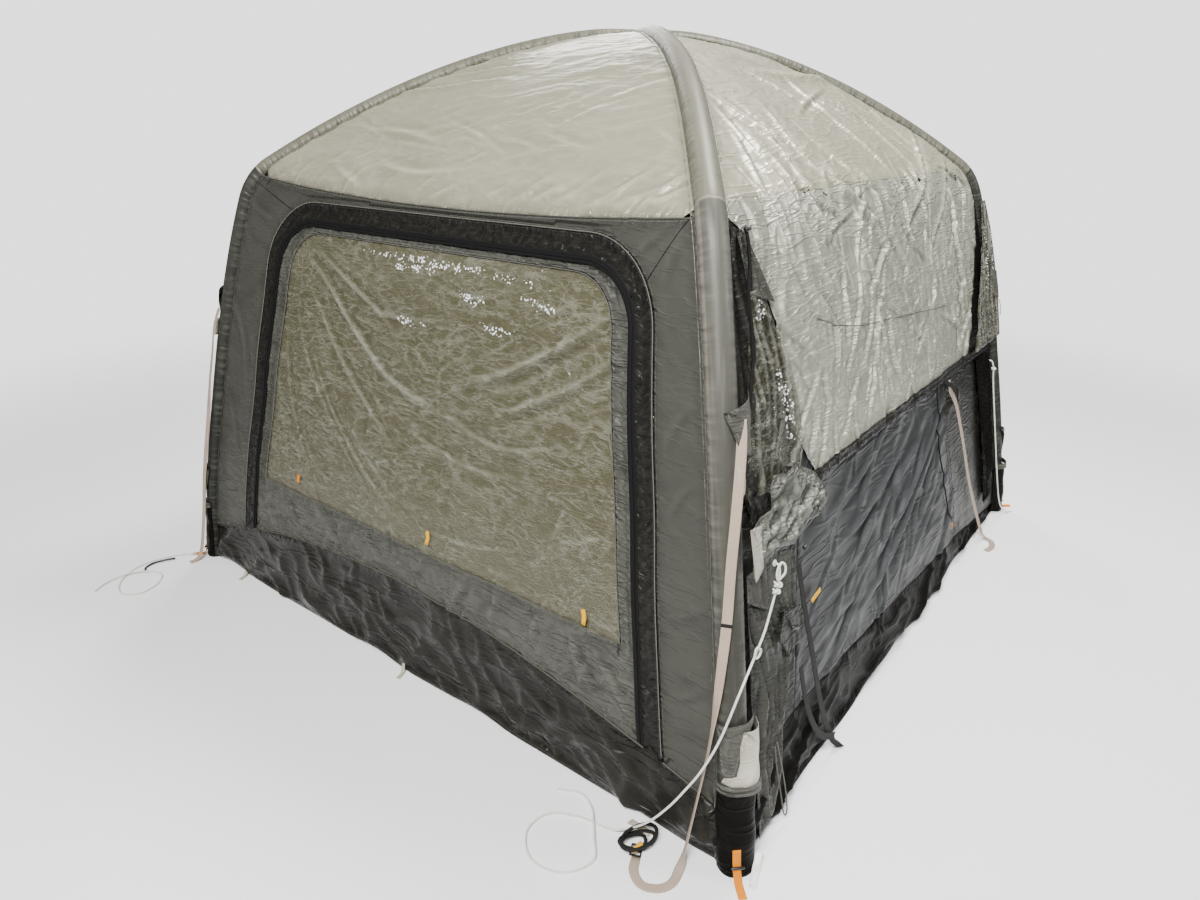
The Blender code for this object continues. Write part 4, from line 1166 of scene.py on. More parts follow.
def sleeve_finish(name, colour, pale):
    """Heavy sleeve cloth: streaks of painted satin sheen and shade along it, painted light and shade on
    wrinkles by its rims, darker down the legs, stitched edges, and a pale stripe down the legs.
    """
    palette = colours()
    made = Finish(name, 0.44, metallic=0.15, specular_ior_level=0.16)
    pattern = made.pattern()
    across, down = made.node("SeparateXYZ", {"Vector": pattern}), made.value("down")
    from_middle = made.maths("ABSOLUTE", across)
    on_leg = made.band(down, SHOULDER_DOWN, SHOULDER_DOWN + 0.006)
    tint = made.mix(on_leg, shaded(palette.roof, 0.55), colour)
    # Painted satin sheen: darker streaks of painted shade along the sleeve, then finer lighter streaks of
    # painted highlight
    tint = made.over(tint, made.noise(made.pattern((60, 1.5, 1)), 1.0, 3.0), 0.7, shaded(colour, 0.45))
    fine = made.band(made.noise(made.pattern((190, 3.0, 1)), 1.0, 2.0), 0.48, 0.66)
    tint = made.over(tint, fine, 0.30, shaded(colour, 2.0))
    stripe = made.times(made.band(made.value("left"), 0.0095, 0.0115), on_leg)
    upper = made.band(down, SHOULDER_DOWN + 1.35, SHOULDER_DOWN + 0.5)
    tint = made.over(tint, made.times(stripe, upper), pale, tuple(palette.stripe))
    # Darker down the leg towards the foot
    low = made.band(down, SHOULDER_DOWN + 0.1, SHOULDER_DOWN + 1.20)
    tint = made.over(tint, low, 0.72, shaded(colour, 0.18))
    curved = made.maths("ADD", down, made.times(made.times(across, across), 6.0))
    arc = made.near_value(curved, SHOULDER_DOWN, 0.004)
    tint = made.over(tint, arc, 0.6, shaded(palette.stripe, 1.25))
    rim = made.near_value(from_middle, SLEEVE_RIM, 0.0022)
    tint = made.over(tint, rim, 0.90, shaded(palette.sleeve, 0.10))
    made.add_height(rim, -0.0014)
    dash = made.band(made.maths("PINGPONG", down, 0.0035), 0.0008, 0.0016)
    row = made.times(made.near_value(from_middle, SLEEVE_STITCHES, 0.0014), dash)
    tint = made.over(tint, row, 0.8, shaded(palette.sleeve, 0.22))
    at_rim = made.band(from_middle, 0.0, 0.024)
    for turn, height in ((38, 0.0070), (60, 0.0045)):
        slant = made.noise(made.pattern((26, 60, 1), turn), 1.0, 1.0, 0.4)
        made.add_height(made.times(slant, at_rim), height)
        # Painted shade on one side of each wrinkle and a painted highlight on the other
        for start, end, share, light in ((0.52, 0.64, 0.50, 0.45), (0.46, 0.36, 0.35, 1.9)):
            wrinkled = made.times(made.band(slant, start, end), at_rim)
            tint = made.over(tint, wrinkled, share, shaded(colour, light))
    made.add_height(made.noise(made.pattern((45, 2.5, 1)), 1.0, 2.0), 0.0034)
    made.add_height(made.noise(pattern, 700.0, 1.0), 0.00014)
    made.add_height(arc, 0.0008)
    return made.done(tint)


# Each finish by name: its maker, the palette's colour, the share of it, and what its maker is told
LOOKS = {
    "roof cloth": (cloth_finish, "roof", 1, dict(
        thread=1.6, roughness=0.36, creased=0.0006, size=3.5, turns=(10, 60, -40), swell=0.010,
        swell_size=2.4, tone=0.08, metallic=0.4, specular=0.4, crests=0.10, hollows=0.15)),
    "right roof cloth": (cloth_finish, "roof", 1, dict(
        thread=1.6, roughness=0.38, creased=0.0010, size=3.5, turns=(112, 70, 130), swell_size=2.5,
        tone=0.10, metallic=0.4, specular=0.4, crests=0.30, hollows=0.12, relief_light_share=0.85, wear_and_highlight=1.35)),
    "tunnel cloth": (cloth_finish, "tunnel", 1, dict(
        thread=1.6, roughness=0.38, size=4.5, turns=(112, 60, 84, 130), swell_size=3.0, tone=0.10,
        metallic=0.4, specular=0.4, crests=0.45, hollows=0.18, relief_light_share=0.95, wear_and_highlight=1.40)),
    "flap cloth": (cloth_finish, "flap", 1, dict(
        thread=1.6, roughness=0.36, size=6.0, turns=(40, 100, -20), swell=0.006, metallic=0.4,
        crests=0.4, hollows=0.4, relief_light_share=0.95, wear_and_highlight=2.6)),
    "pale lining": (cloth_finish, "lining", 1, dict(
        thread=1.6, roughness=0.40, creased=0.0010, size=12.0, metallic=0.2, specular=0.3)),
    "wall cloth": (cloth_finish, "wall", 1, dict(
        roughness=0.38, creased=0.0007, size=6.0, specular=0.10, crests=0.12)),
    "door cloth": (cloth_finish, "door", 1, dict(
        roughness=0.36, creased=0.0018, size=8.0, turns=(60, 110, 10), swell=0.012, swell_size=8.0,
        tone=0.14, pucker=0.0034, specular=0.12, crests=0.40, hollows=0.45)),
    "skirt cloth": (cloth_finish, "skirt", 1, dict(
        thread=0.25, roughness=0.26, creased=0.0010, size=3.0, turns=(10, 60, -30), swell=0.007,
        swell_size=2.4, tone=0.25, pucker=0.0020, specular=0.12, crests=0.10, hollows=0.4, relief_light_share=0.40,
        wear_and_highlight=2.8)),
    "shaded skirt cloth": (cloth_finish, "skirt", 0.30, dict(
        thread=0.25, creased=0.0008, size=3.0, turns=(10, 60, -30), swell=0.006, swell_size=2.4,
        tone=0.25, pucker=0.0020, specular=0.03, crests=0.10, hollows=0.4, relief_light_share=0.3, wear_and_highlight=2.5)),
    "zip cover cloth": (cloth_finish, "zip_cover", 1, dict(
        thread=0.3, roughness=0.32, creased=0.0008, size=6.0, turns=(0, 60, -60), swell_size=6.0,
        tone=0.30, pucker=0.0034, specular=0.09, crests=0.14, relief_light_share=0.8, wear_and_highlight=3.4)),
    "curtain cloth": (cloth_finish, "curtain", 1, dict(
        thread=0.8, roughness=0.75, creased=0.0006, turns=(-30, 30), swell=0.002, swell_size=4.0,
        tone=0.08, specular=0.1, crests=0.06, hollows=0.05, relief_light_share=0.75)),
    "slate cloth": (cloth_finish, "slate", 1, dict(
        thread=0.5, roughness=0.36, creased=0.0009, size=3.0, turns=(30, 45, -60), swell=0.005,
        swell_size=2.4, tone=0.16, specular=0.10, crests=0.14, hollows=0.35, relief_light_share=0.8, wear_and_highlight=2.8)),
    # A darker copy of the wall cloth: painted shade on the right wall's surround, which lies under the
    # tunnel; the tunnel's pocket uses it too
    "charcoal cloth": (cloth_finish, "wall", 0.35, dict(
        roughness=0.34, creased=0.0012, size=5.0, turns=(90, 70, 20), swell=0.006, tone=0.25,
        specular=0.10, crests=0.3)),
    "side cloth": (cloth_finish, "wall", 0.55, dict(
        roughness=0.34, creased=0.0012, size=5.0, turns=(90, 80, 20), swell=0.006, tone=0.25,
        specular=0.11, crests=0.35, relief_light_share=0.8)),
    "cuff cloth": (cloth_finish, "sleeve", 0.60, dict(
        thread=0.45, creased=0.0012, specular=0.15, crests=0.2)),
    "clear film": (film_finish, "film", 1, dict(alpha=0.42, glint_share=0.85)),
    "tunnel film": (film_finish, "film", 0.45, dict(alpha=0.34)),
    "far film": (film_finish, "film", 0.32, dict(alpha=0.80)),
    "beige webbing": (webbing_finish, "webbing", 1, {}),
    "black webbing": (webbing_finish, "dark_webbing", 1, {}),
    "orange webbing": (webbing_finish, "orange", 1, {}),
    "yellow webbing": (webbing_finish, "yellow", 1, {}),
    "cream webbing": (webbing_finish, "cream", 1, {}),
    "pale piping": (webbing_finish, "piping", 1, {}),
    "wall piping": (webbing_finish, "wall", 1.6, {}),
    "zip tape": (webbing_finish, "zip", 1, {}),
    "guy line braid": (line_finish, "line", 1, {}),
    "yellow plastic": (plastic_finish, "yellow", 1, {}),
    "black plastic": (plastic_finish, "black", 1, {}),
    "white plastic": (plastic_finish, "white", 1, {}),
    "sleeve cloth": (sleeve_finish, "sleeve", 1, dict(pale=0.85)),
    "plain sleeve cloth": (sleeve_finish, "wall", 1.1, dict(pale=0.0)),
}
FINISHES = {}


def finish(name):
    """The finish of that name, made when it is first asked for."""
    if name not in FINISHES:
        maker, source, share, look = LOOKS[name]
        FINISHES[name] = maker(name, shaded(getattr(colours(), source), share), **look)
    return FINISHES[name]


# Outlines in the flat pattern

def arch(side, shape, inset=0.0, bottom=-0.05):
    """A door outline: leaning sides and round top corners, moved inward by an inset."""
    lean = shape["lean"]
    slant = math.hypot(1, lean)
    half_in = shape["half"] - inset * slant
    radius = shape["corner"] - inset
    corner_up = shape["top"] - inset - radius
    corner_across = half_in - lean * corner_up - radius * slant
    right = [(half_in - lean * bottom, bottom)]
    for angle in np.linspace(math.atan(lean), math.pi / 2, 14):
        right.append((corner_across + radius * math.cos(angle), corner_up + radius * math.sin(angle)))
    points = right + [(-across, up) for across, up in reversed(right)]
    return bent_to_pattern(side, [(shape["centre"] + across, up) for across, up in points])


def bent_to_pattern(side, outline):
    """An outline across and up, with points close enough to follow the side's curve."""
    fine = closed_resample(np.array(outline, float), 0.05)
    below = fine[:, 1] < 0
    pattern = side.pattern(fine)
    pattern[below, 1] = side.y_at(0.0) + fine[below, 1]
    return pattern


def side_outline(side, top_y, bottom_y):
    """The whole of a side between two functions of across, out to the sleeves."""
    def column(sign):
        ys = np.linspace(top_y(sign * 1.0), bottom_y(sign * 1.2), 60)
        return [(sign * max(side.edge(y) - PANEL_EDGE, 0.004), y) for y in ys]
    right, left = column(1), column(-1)
    top = [(x, top_y(x)) for x in np.linspace(left[0][0], right[0][0], 30)[1:-1]]
    bottom = [(x, bottom_y(x)) for x in np.linspace(right[-1][0], left[-1][0], 60)[1:-1]]
    return top + right + bottom + left[::-1]


def below_seam(side):
    """All of a side below its skirt's seam, past its edges and under the ground."""
    xs = np.linspace(-1.5, 1.5, 61)
    low = side.y_at(0.0) - 0.2
    return [(x, seam_y(side)(x)) for x in xs] + [(x, low) for x in xs[::-1]]


def eave_y(side):
    if side.name == "right":
        return lambda x: side.y_at(TUNNEL_EAVE)
    return lambda x: side.y_at(eave(x))


def seam_y(side):
    if side.name == "right":
        return lambda x: side.y_at(TUNNEL_SKIRT_HEIGHT - TUNNEL_SKIRT_TILT * x - TUNNEL_SKIRT_DROP * x ** 2)
    return lambda x: side.y_at(SKIRT_HEIGHT - SKIRT_DROP * x ** 2)


def hem_y(side):
    """The hem, which rests on the ground and lifts off it in low waves."""
    seed = {"front": 71, "right": 72, "back": 73, "left": 74}[side.name]

    def hem(x):
        x = np.asarray(x, float)
        lift = np.clip(noise(x / 0.34 + 5, 0 * x + 0.5, seed), 0, 1) * 0.035
        return side.y_at(0.004) + lift
    return hem


# Seams, zips and strips laid on a side

def laid(side_name, route, proud):
    """Points along a route in a side's pattern, lying on its folded cloth, and the ways out of it."""
    side = SIDES[side_name]
    x, y = resampled(np.array(route, float), 0.012).T
    lift = proud + shared_relief(side, x, y)
    points = bowed(side.place(x, y, lift))
    return points, bowed(side.place(x, y, lift + 0.01)) - points


def seam(name, side_name, route, proud, radius, finish_name, slot):
    """Piping or a zip's coil along a route in a side's pattern."""
    points, _ = laid(side_name, route, proud)
    return settle(tube(name, points, radius, 8), finish_name, slot)


def strip(name, side_name, route, proud, width, finish_name, slot, thickness=0.002):
    """A flat strip along a route in a side's pattern."""
    points, facings = laid(side_name, route, proud)
    return settle(ribbon(name, points, width, thickness, facings), finish_name, slot)


def above(route, floor):
    """The stretch of a closed outline that lies above a seam."""
    fine = closed_resample(np.array(route, float), 0.02)
    return fine[fine[:, 1] > floor(fine[:, 0]) + 0.004]


def add_gleam(film, side, routes, width, height, base):
    """Marks where a film gets painted white glints, along routes across and up, over a base."""
    points = points_of(film)
    across, up = side.across(points), points[:, 2]
    gleam = np.zeros(len(up))
    for route in routes:
        gleam = np.maximum(gleam, fold(across, up, route, width, height))
    set_value(film, "gleam", base(np.clip(gleam, 0, 1), up))


def crumpled(length, width, turn, height, seed, octaves=3):
    def relief(side, x, y, net):
        return (creases(x, y, length, width, turn, seed, octaves) - 0.35) * height
    return relief


def puckered(height, spacing, reach, lean, seed, more=None):
    """Puckers that start at the piece's edge and run in at a slant."""
    def relief(side, x, y, net):
        ripples = noise(net.along / spacing + net.from_edge * lean / spacing, net.from_edge / 0.08, seed)
        total = ripples * height * np.exp(-net.from_edge / reach)
        if more is not None:
            total = total + more(side, x, y, net)
        return total
    return relief


def skirt_relief(seed):
    """Big irregular folds that grow towards the hem."""
    def relief(side, x, y, net):
        up = side.up_at(y)
        grow = fade((0.36 - up) / 0.34)
        total = (creases(x, y, 0.40, 0.13, 18, seed, 1) - 0.45) * 0.024 * grow
        total += (creases(x, y, 0.20, 0.09, -35, seed + 6, 1) - 0.4) * 0.010
        return total + noise(x / 0.5, y / 0.5, seed + 9) * 0.02 * grow + 0.006 * grow
    return relief


# Stage

class AWNING_OT_stage(bpy.types.Operator):
    """Makes the floor, the soft lights and the camera at the photographed angle."""

    bl_idname = "awning.stage"
    bl_label = "Stage"

    def execute(self, context):
        view = context.scene.awning_view
        self.floor()
        self.light_world(context, view.light)
        lights = (
            ("key", (2.2, -4.3, 4.6), (0.3, -0.4, 0.9), 1.2, 620.0),
            ("top", (0.9, 1.2, 5.2), (0.4, 0.0, 1.2), 1.2, 270.0),
            ("side", (4.6, 1.2, 3.6), (1.0, 0.0, 0.9), 1.2, 120.0),
            ("back", (-4.2, 4.2, 3.8), (0.0, 0.0, 1.0), 2.4, 300.0),
        )
        for name, place, target, size, power in lights:
            self.area_light(context, name, place, target, size, power * view.light)
        sparkle = bpy.data.lights.new("sparkle", "SUN")
        sparkle.energy = 0.9 * view.light
        sparkle.angle = math.radians(3)
        lamp = bpy.data.objects.new("sparkle", sparkle)
        lamp.rotation_euler = (math.radians(38), math.radians(8), math.radians(-12))
        context.scene.collection.objects.link(lamp)
        self.camera(context, view)
        return {"FINISHED"}

    @staticmethod
    def floor():
        """A pale floor that fades into the studio's white far from the awning."""
        bpy.ops.object.select_all(action="DESELECT")
        bpy.ops.mesh.primitive_circle_add(vertices=96, radius=9.0, fill_type="NGON")
        floor = bpy.context.object
        floor.name = "floor"
        made = Finish("pale floor", 0.9, specular_ior_level=0.1)
        tone = made.noise(made.objects(), 1.5, 2.0)
        tone = made.mix(tone, (0.87, 0.87, 0.865), (0.90, 0.90, 0.895))
        away = made.node("VectorMath", {"Vector": made.objects()}, output="Value", operation="LENGTH")
        shown = made.maths("SUBTRACT", 1.0, made.band(away, 2.6, 6.0))
        floor.data.materials.append(made.done(tone, alpha=shown))

    @staticmethod
    def light_world(context, strength):
        world = bpy.data.worlds.new("studio")
        world.use_nodes = True
        nodes, links = world.node_tree.nodes, world.node_tree.links
        background = nodes["Background"]
        background.inputs["Color"].default_value = (1.0, 1.0, 1.0, 1.0)
        seen = nodes.new("ShaderNodeMath")
        seen.operation = "MULTIPLY_ADD"
        links.new(nodes.new("ShaderNodeLightPath").outputs["Is Camera Ray"], seen.inputs[0])
        seen.inputs[1].default_value = 2.0
        seen.inputs[2].default_value = 0.18 * strength
        links.new(seen.outputs[0], background.inputs["Strength"])
        context.scene.world = world

    @staticmethod
    def area_light(context, name, place, target, size, power):
        data = bpy.data.lights.new(name, "AREA")
        data.size = size
        data.energy = power
        lamp = bpy.data.objects.new(name, data)
        lamp.location = place
        lamp.rotation_euler = (Vector(target) - Vector(place)).to_track_quat("-Z", "Y").to_euler()
        context.scene.collection.objects.link(lamp)

    @staticmethod
    def camera(context, view):
        ahead = Vector((math.sin(view.yaw) * math.cos(view.pitch),
                        math.cos(view.yaw) * math.cos(view.pitch), math.sin(view.pitch)))
        level = ahead.cross(Vector((0, 0, 1))).normalized()
        upright = level.cross(ahead)
        right = level * math.cos(view.roll) + upright * math.sin(view.roll)
        top = upright * math.cos(view.roll) - level * math.sin(view.roll)
        data = bpy.data.cameras.new("camera")
        data.sensor_width = 36.0
        data.lens = view.lens
        camera = bpy.data.objects.new("camera", data)
        turn = Matrix((right, top, -ahead)).transposed().to_4x4()
        camera.matrix_world = Matrix.Translation(view.position) @ turn
        context.scene.collection.objects.link(camera)
        context.scene.camera = camera


# Straps and lines

UPWARD = np.array((0, 0, 1.0))

# The near strap looks out past the corner towards its top, and stands a little off the leg there
PAST_CORNER = np.array((0.45, -0.89, 0.0))
TURN_FROM, STAND_FROM, TURN_RUN = 0.55, 0.65, 0.30
STAND_OFF_LEG, STAND_PAST_CORNER = 0.006, 0.014


def off_ground(points, ways):
    """Facings that follow ways where a strap hangs or leans, and look up where it lies on the ground."""
    upright = np.clip((points[:, 2] - 0.004) / 0.05, 0, 1)[:, None]
    return ways * upright + UPWARD * (1 - upright)


def off_near_leg(points):
    """The near strap turns from the leg's side, at its top, to look out past the corner."""
    share = fade((points[:, 2] - TURN_FROM) / TURN_RUN)[:, None]
    return off_leg(points) * (1 - 0.8 * share) + PAST_CORNER * share * 1.6


def off_right_wall(points):
    return np.tile((1.0, 0, 0), (len(points), 1))


def strap_points(route, away, spacing=0.012):
    """A strap's path. The near strap stands a little off the leg towards its top."""
    points = smooth_route(route, spacing)
    if away is off_near_leg:
        share = fade((points[:, 2] - STAND_FROM) / TURN_RUN)[:, None]
        points = points + (off_leg(points) * STAND_OFF_LEG + PAST_CORNER * STAND_PAST_CORNER) * share
    return points


def lay_cord(points, diameter):
    """Reads the first point and the length of a cord along points, and keeps neither."""
    tuple(points[0])
    float(distances(points)[-1])


def strap(name, route, away, finish_name, slot, node, with_pieces=()):
    width = sizes().webbing_width
    points = strap_points(route, away)
    obj = ribbon(name, points, width, sizes().webbing_thickness, off_ground(points, away(points)))
    settle(obj, finish_name, slot, (node,))
    lay_cord(points, width)


def rounded(obj, width, angle):
    """Rounds a moulded piece's edges and shades it smooth up to an angle."""
    rounding = obj.modifiers.new("rounding", "BEVEL")
    rounding.width = width
    rounding.segments = 2
    apply_modifiers(obj)
    bpy.ops.object.shade_smooth_by_angle(angle=math.radians(angle))


def barrel(name, place, way, length, radius, finish_name, flatness=1.0):
    """A small moulded toggle, bead, knob or clip: a rounded barrel with a raised disc at each end."""
    bpy.ops.object.select_all(action="DESELECT")
    bpy.ops.mesh.primitive_cylinder_add(vertices=16, radius=radius, depth=length)
    obj = bpy.context.object
    obj.name = name
    obj.scale = (flatness, 1, 1)
    bpy.ops.object.transform_apply(scale=True)
    bpy.ops.object.mode_set(mode="EDIT")
    bpy.ops.mesh.select_mode(type="FACE")
    bpy.ops.mesh.select_all(action="DESELECT")
    bpy.ops.object.mode_set(mode="OBJECT")
    for face in obj.data.polygons:
        face.select = abs(face.normal.z) > 0.9
    bpy.ops.object.mode_set(mode="EDIT")
    bpy.ops.mesh.inset(thickness=radius * 0.35)
    bpy.ops.transform.resize(value=(1, 1, 1.2))
    bpy.ops.object.mode_set(mode="OBJECT")
    rounded(obj, min(radius, length) * 0.22, 50)
    turn = Vector(way).to_track_quat("Z", "X").to_matrix().to_4x4()
    obj.data.transform(Matrix.Translation(Vector(place)) @ turn)
    return settle(obj, finish_name, "buckle_plastic")


# The ladder buckle's frame, and the places along it and the size of its two slots
BUCKLE_SIZE, BUCKLE_RISE = (0.038, 0.032, 0.005), 0.0052
SLOT_PLACES, SLOT_SIZE = (-0.010, 0.009), (0.0085, 0.024, 0.02)

# The black tape tied up by the near strap's loose end: turns round a middle, each a little different
TIE_MIDDLE, TIE_REACH, TIE_TURNS = (1.058, -1.436), (0.030, 0.040), 2.5
LOOP_ROUTE = ((1.332, -0.790, 0.070), (1.322, -0.865, 0.115), (1.312, -0.925, 0.190),
              (1.296, -0.972, 0.300), (1.278, -0.995, 0.420))


class AWNING_OT_straps(bpy.types.Operator):
    """Makes the storm straps at the four corners and the tunnel's two peg straps."""

    bl_idname = "awning.straps"
    bl_label = "Straps"

    def execute(self, context):
        buckle = self.buckle()
        toggle = barrel("strap_toggle", (1.073, -1.450, 0.019), (0.1, 1.0, 0.1), 0.030, 0.007,
                        "yellow plastic")
        turns = np.linspace(0, 2 * TIE_TURNS * math.pi, 60)
        reach = (TIE_REACH[0] + 0.010 * np.sin(0.62 * turns), TIE_REACH[1] + 0.018 * np.cos(0.47 * turns))
        loops = np.stack([TIE_MIDDLE[0] + reach[0] * np.cos(turns),
                          TIE_MIDDLE[1] + reach[1] * np.sin(turns + 0.4),
                          0.008 + 0.006 * turns / math.pi + 0.002 * np.sin(2 * turns)], axis=1)
        bundle = settle(tube("strap_tie_loops", loops, 0.0050, 8), "black webbing", "dark_webbing")
        strap("near_storm_webbing", NEAR_STRAP_ROUTE, off_near_leg, "beige webbing", "webbing",
              "storm_strap_front_right", [buckle, toggle, bundle, self.mark()])
        for corner, sign in CORNERS.items():
            if corner != "front_right":
                route = [(x * sign[0], y * sign[1], z) for x, y, z in STRAP_ROUTE]
                strap("storm_webbing_" + corner, route, off_leg, "beige webbing", "webbing",
                      "storm_strap_" + corner)
        clip = barrel("tunnel_strap_clip", (1.204, 0.545, 0.790), (0.12, 0.03, -1.0), 0.042, 0.016,
                      "black plastic", 0.40)
        strap("far_tunnel_webbing", FAR_TUNNEL_STRAP_ROUTE, off_right_wall, "beige webbing", "webbing",
              "tunnel_strap_far", [clip])
        back = smooth_route(LOOP_ROUTE, 0.012)
        loop = settle(ribbon("near_tunnel_loop", back, 0.022, 0.002, off_right_wall(back)),
                      "black webbing", "dark_webbing")
        strap("near_tunnel_webbing", NEAR_TUNNEL_STRAP_ROUTE, off_right_wall, "black webbing",
              "dark_webbing", "tunnel_strap_near", [loop])
        return {"FINISHED"}

    @staticmethod
    def mark():
        """The black bar woven into the near strap."""
        points = strap_points(NEAR_STRAP_ROUTE, off_near_leg, 0.003)
        points = points[(points[:, 2] > 0.676) & (points[:, 2] < 0.690)]
        obj = ribbon("strap_mark", points, 0.0260, 0.0036, off_near_leg(points))
        return settle(obj, "black webbing", "dark_webbing")

    @staticmethod
    def buckle():
        """The ladder buckle on the loose end: a frame with two slots."""
        points = smooth_route(NEAR_STRAP_ROUTE, 0.012)
        way = points[-1] - points[-2]
        low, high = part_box("strap_buckle")
        centre = (Vector(low) + Vector(high)) / 2
        bpy.ops.object.select_all(action="DESELECT")
        bpy.ops.mesh.primitive_cube_add(size=1, location=(0, 0, 0))
        obj = bpy.context.object
        obj.name = "strap_ladder_buckle"
        obj.scale = BUCKLE_SIZE
        bpy.ops.object.transform_apply(scale=True)
        for place in SLOT_PLACES:
            bpy.ops.mesh.primitive_cube_add(size=1, location=(place, 0, 0))
            cutter = bpy.context.object
            cutter.scale = SLOT_SIZE
            bpy.ops.object.transform_apply(scale=True)
            hole = obj.modifiers.new("slot", "BOOLEAN")
            hole.operation = "DIFFERENCE"
            hole.object = cutter
            apply_modifiers(obj)
            bpy.data.objects.remove(cutter, do_unlink=True)
        rounded(obj, 0.0014, 40)
        turn = Matrix.Rotation(math.atan2(way[1], way[0]), 4, "Z")
        obj.data.transform(Matrix.Translation((centre.x, centre.y, BUCKLE_RISE)) @ turn)
        return settle(obj, "black plastic", "buckle_plastic", ("strap_buckle",))


def guy_line(name, route, node):
    diameter = sizes().line_diameter
    points = smooth_route(route, 0.006)
    obj = tube(name, points, diameter / 2)
    settle(obj, "guy line braid", "guy_line", (node,))
    lay_cord(points, diameter)


# The near line's eye and the bight half-way down it, and the hook on the left line
EYE_ROUTE = ((1.232, -1.100, 0.724), (1.238, -1.080, 0.738), (1.236, -1.076, 0.756),
             (1.230, -1.086, 0.768), (1.228, -1.100, 0.758), (1.230, -1.108, 0.740),
             (1.233, -1.104, 0.724))
BIGHT_MIDDLE, BIGHT_REACH, BIGHT_TURNS = (1.250, -1.232, 0.592), (0.004, 0.011, 0.013), 1.2
HOOK_ROUTE = ((-1.372, -1.478, 0.009), (-1.391, -1.499, 0.006), (-1.409, -1.546, 0.0045),
              (-1.400, -1.585, 0.0045), (-1.378, -1.600, 0.006))


class AWNING_OT_guy_lines(bpy.types.Operator):
    """Makes the three guy lines with their knots."""

    bl_idname = "awning.guy_lines"
    bl_label = "Guy lines"

    def execute(self, context):
        turns = np.linspace(0, 2 * BIGHT_TURNS * math.pi, 30)
        bight = np.stack([turns / math.pi, np.cos(turns), np.sin(turns)], axis=1) * BIGHT_REACH
        pieces = [settle(tube(name, points, 0.0030, 8), "guy line braid", "guy_line")
                  for name, points in (("near_line_eye", smooth_route(EYE_ROUTE, 0.003)),
                                       ("near_line_bight", bight + BIGHT_MIDDLE),
                                       ("near_line_knot", self.knot((1.233, -1.106, 0.716), 0.0034)),
                                       ("near_line_stopper", self.knot((1.234, -1.113, 0.700), 0.0030)))]
        guy_line("near_guy_line", NEAR_LINE_ROUTE, "guy_line_near")
        ends = [settle(tube(name + "_line_knot", self.knot(place, 0.003), 0.0028, 8),
                       "guy line braid", "guy_line")
                for name, place in (("left", LEFT_LINE_ROUTE[0]), ("far", FAR_LINE_ROUTE[2]))]
        hook = settle(tube("left_line_hook", smooth_route(HOOK_ROUTE, 0.004), 0.0042),
                      "black plastic", "buckle_plastic")
        guy_line("left_guy_line", LEFT_LINE_ROUTE, "guy_line_left")
        guy_line("far_guy_line", FAR_LINE_ROUTE, "guy_line_far")
        return {"FINISHED"}

    @staticmethod
    def knot(centre, size):
        """The path of a small overhand knot round a point of a line, kept off the ground."""
        turns = np.linspace(0, 2 * math.pi, 48)
        path = np.stack([np.sin(turns) + 2 * np.sin(2 * turns), np.cos(turns) - 2 * np.cos(2 * turns),
                         -np.sin(3 * turns)], axis=1) * size + np.array(centre)
        path[:, 2] = np.maximum(path[:, 2], 0.0035)
        return path


# Sleeves

def diagonal_line(sign_start, sink):
    """Fine points along one pair of beams, foot to foot over the apex."""
    start = BEAM_LINE * (sign_start[0], sign_start[1], 1)
    end = BEAM_LINE * (-sign_start[0], -sign_start[1], 1)
    line = np.vstack([start[::-1], end[1:]])
    from_apex = np.hypot(line[:, 0], line[:, 1])
    line[:, 2] -= sink * np.exp(-(from_apex / 0.12) ** 2)
    return resampled(line, 0.010)


def panel_ways(points, runs):
    """At each point of a beam line, the ways into its two panels and their outward normals."""
    corner_x, corner_y = np.sign(points[:, 0]), np.sign(points[:, 1])
    corner_x[corner_x == 0], corner_y[corner_y == 0] = 1, 1
    front, right = SIDES["front"], SIDES["right"]
    up = np.clip(points[:, 2], 0, APEX_HEIGHT - 1e-4)
    results = []
    for side, axis, corner in ((front, 1, corner_y), (right, 0, corner_x)):
        path = -side.y_at(up)
        out = np.interp(path, side.path, side.normal_out)
        rise = np.interp(path, side.path, side.normal_up)
        normal = np.zeros_like(points)
        normal[:, axis] = out * corner
        normal[:, 2] = rise
        way = np.cross(runs, normal)
        way = way / np.linalg.norm(way, axis=1)[:, None]
        toward = np.zeros_like(points)
        toward[:, 1 - axis] = -(corner_x if axis == 1 else corner_y)
        way = way * np.sign((way * toward).sum(axis=1))[:, None]
        results.append((way, normal))
    return results


# How far the sleeves' flanges lie off the beam's line, and the points of a sleeve's section
SLEEVE_LIFT = WALL_PROUD + 0.0022
SLEEVE_STEPS = {"flange": 5, "arc": 15, "inner": 9}
SLEEVE_SQUASH = (1.04, 0.86)


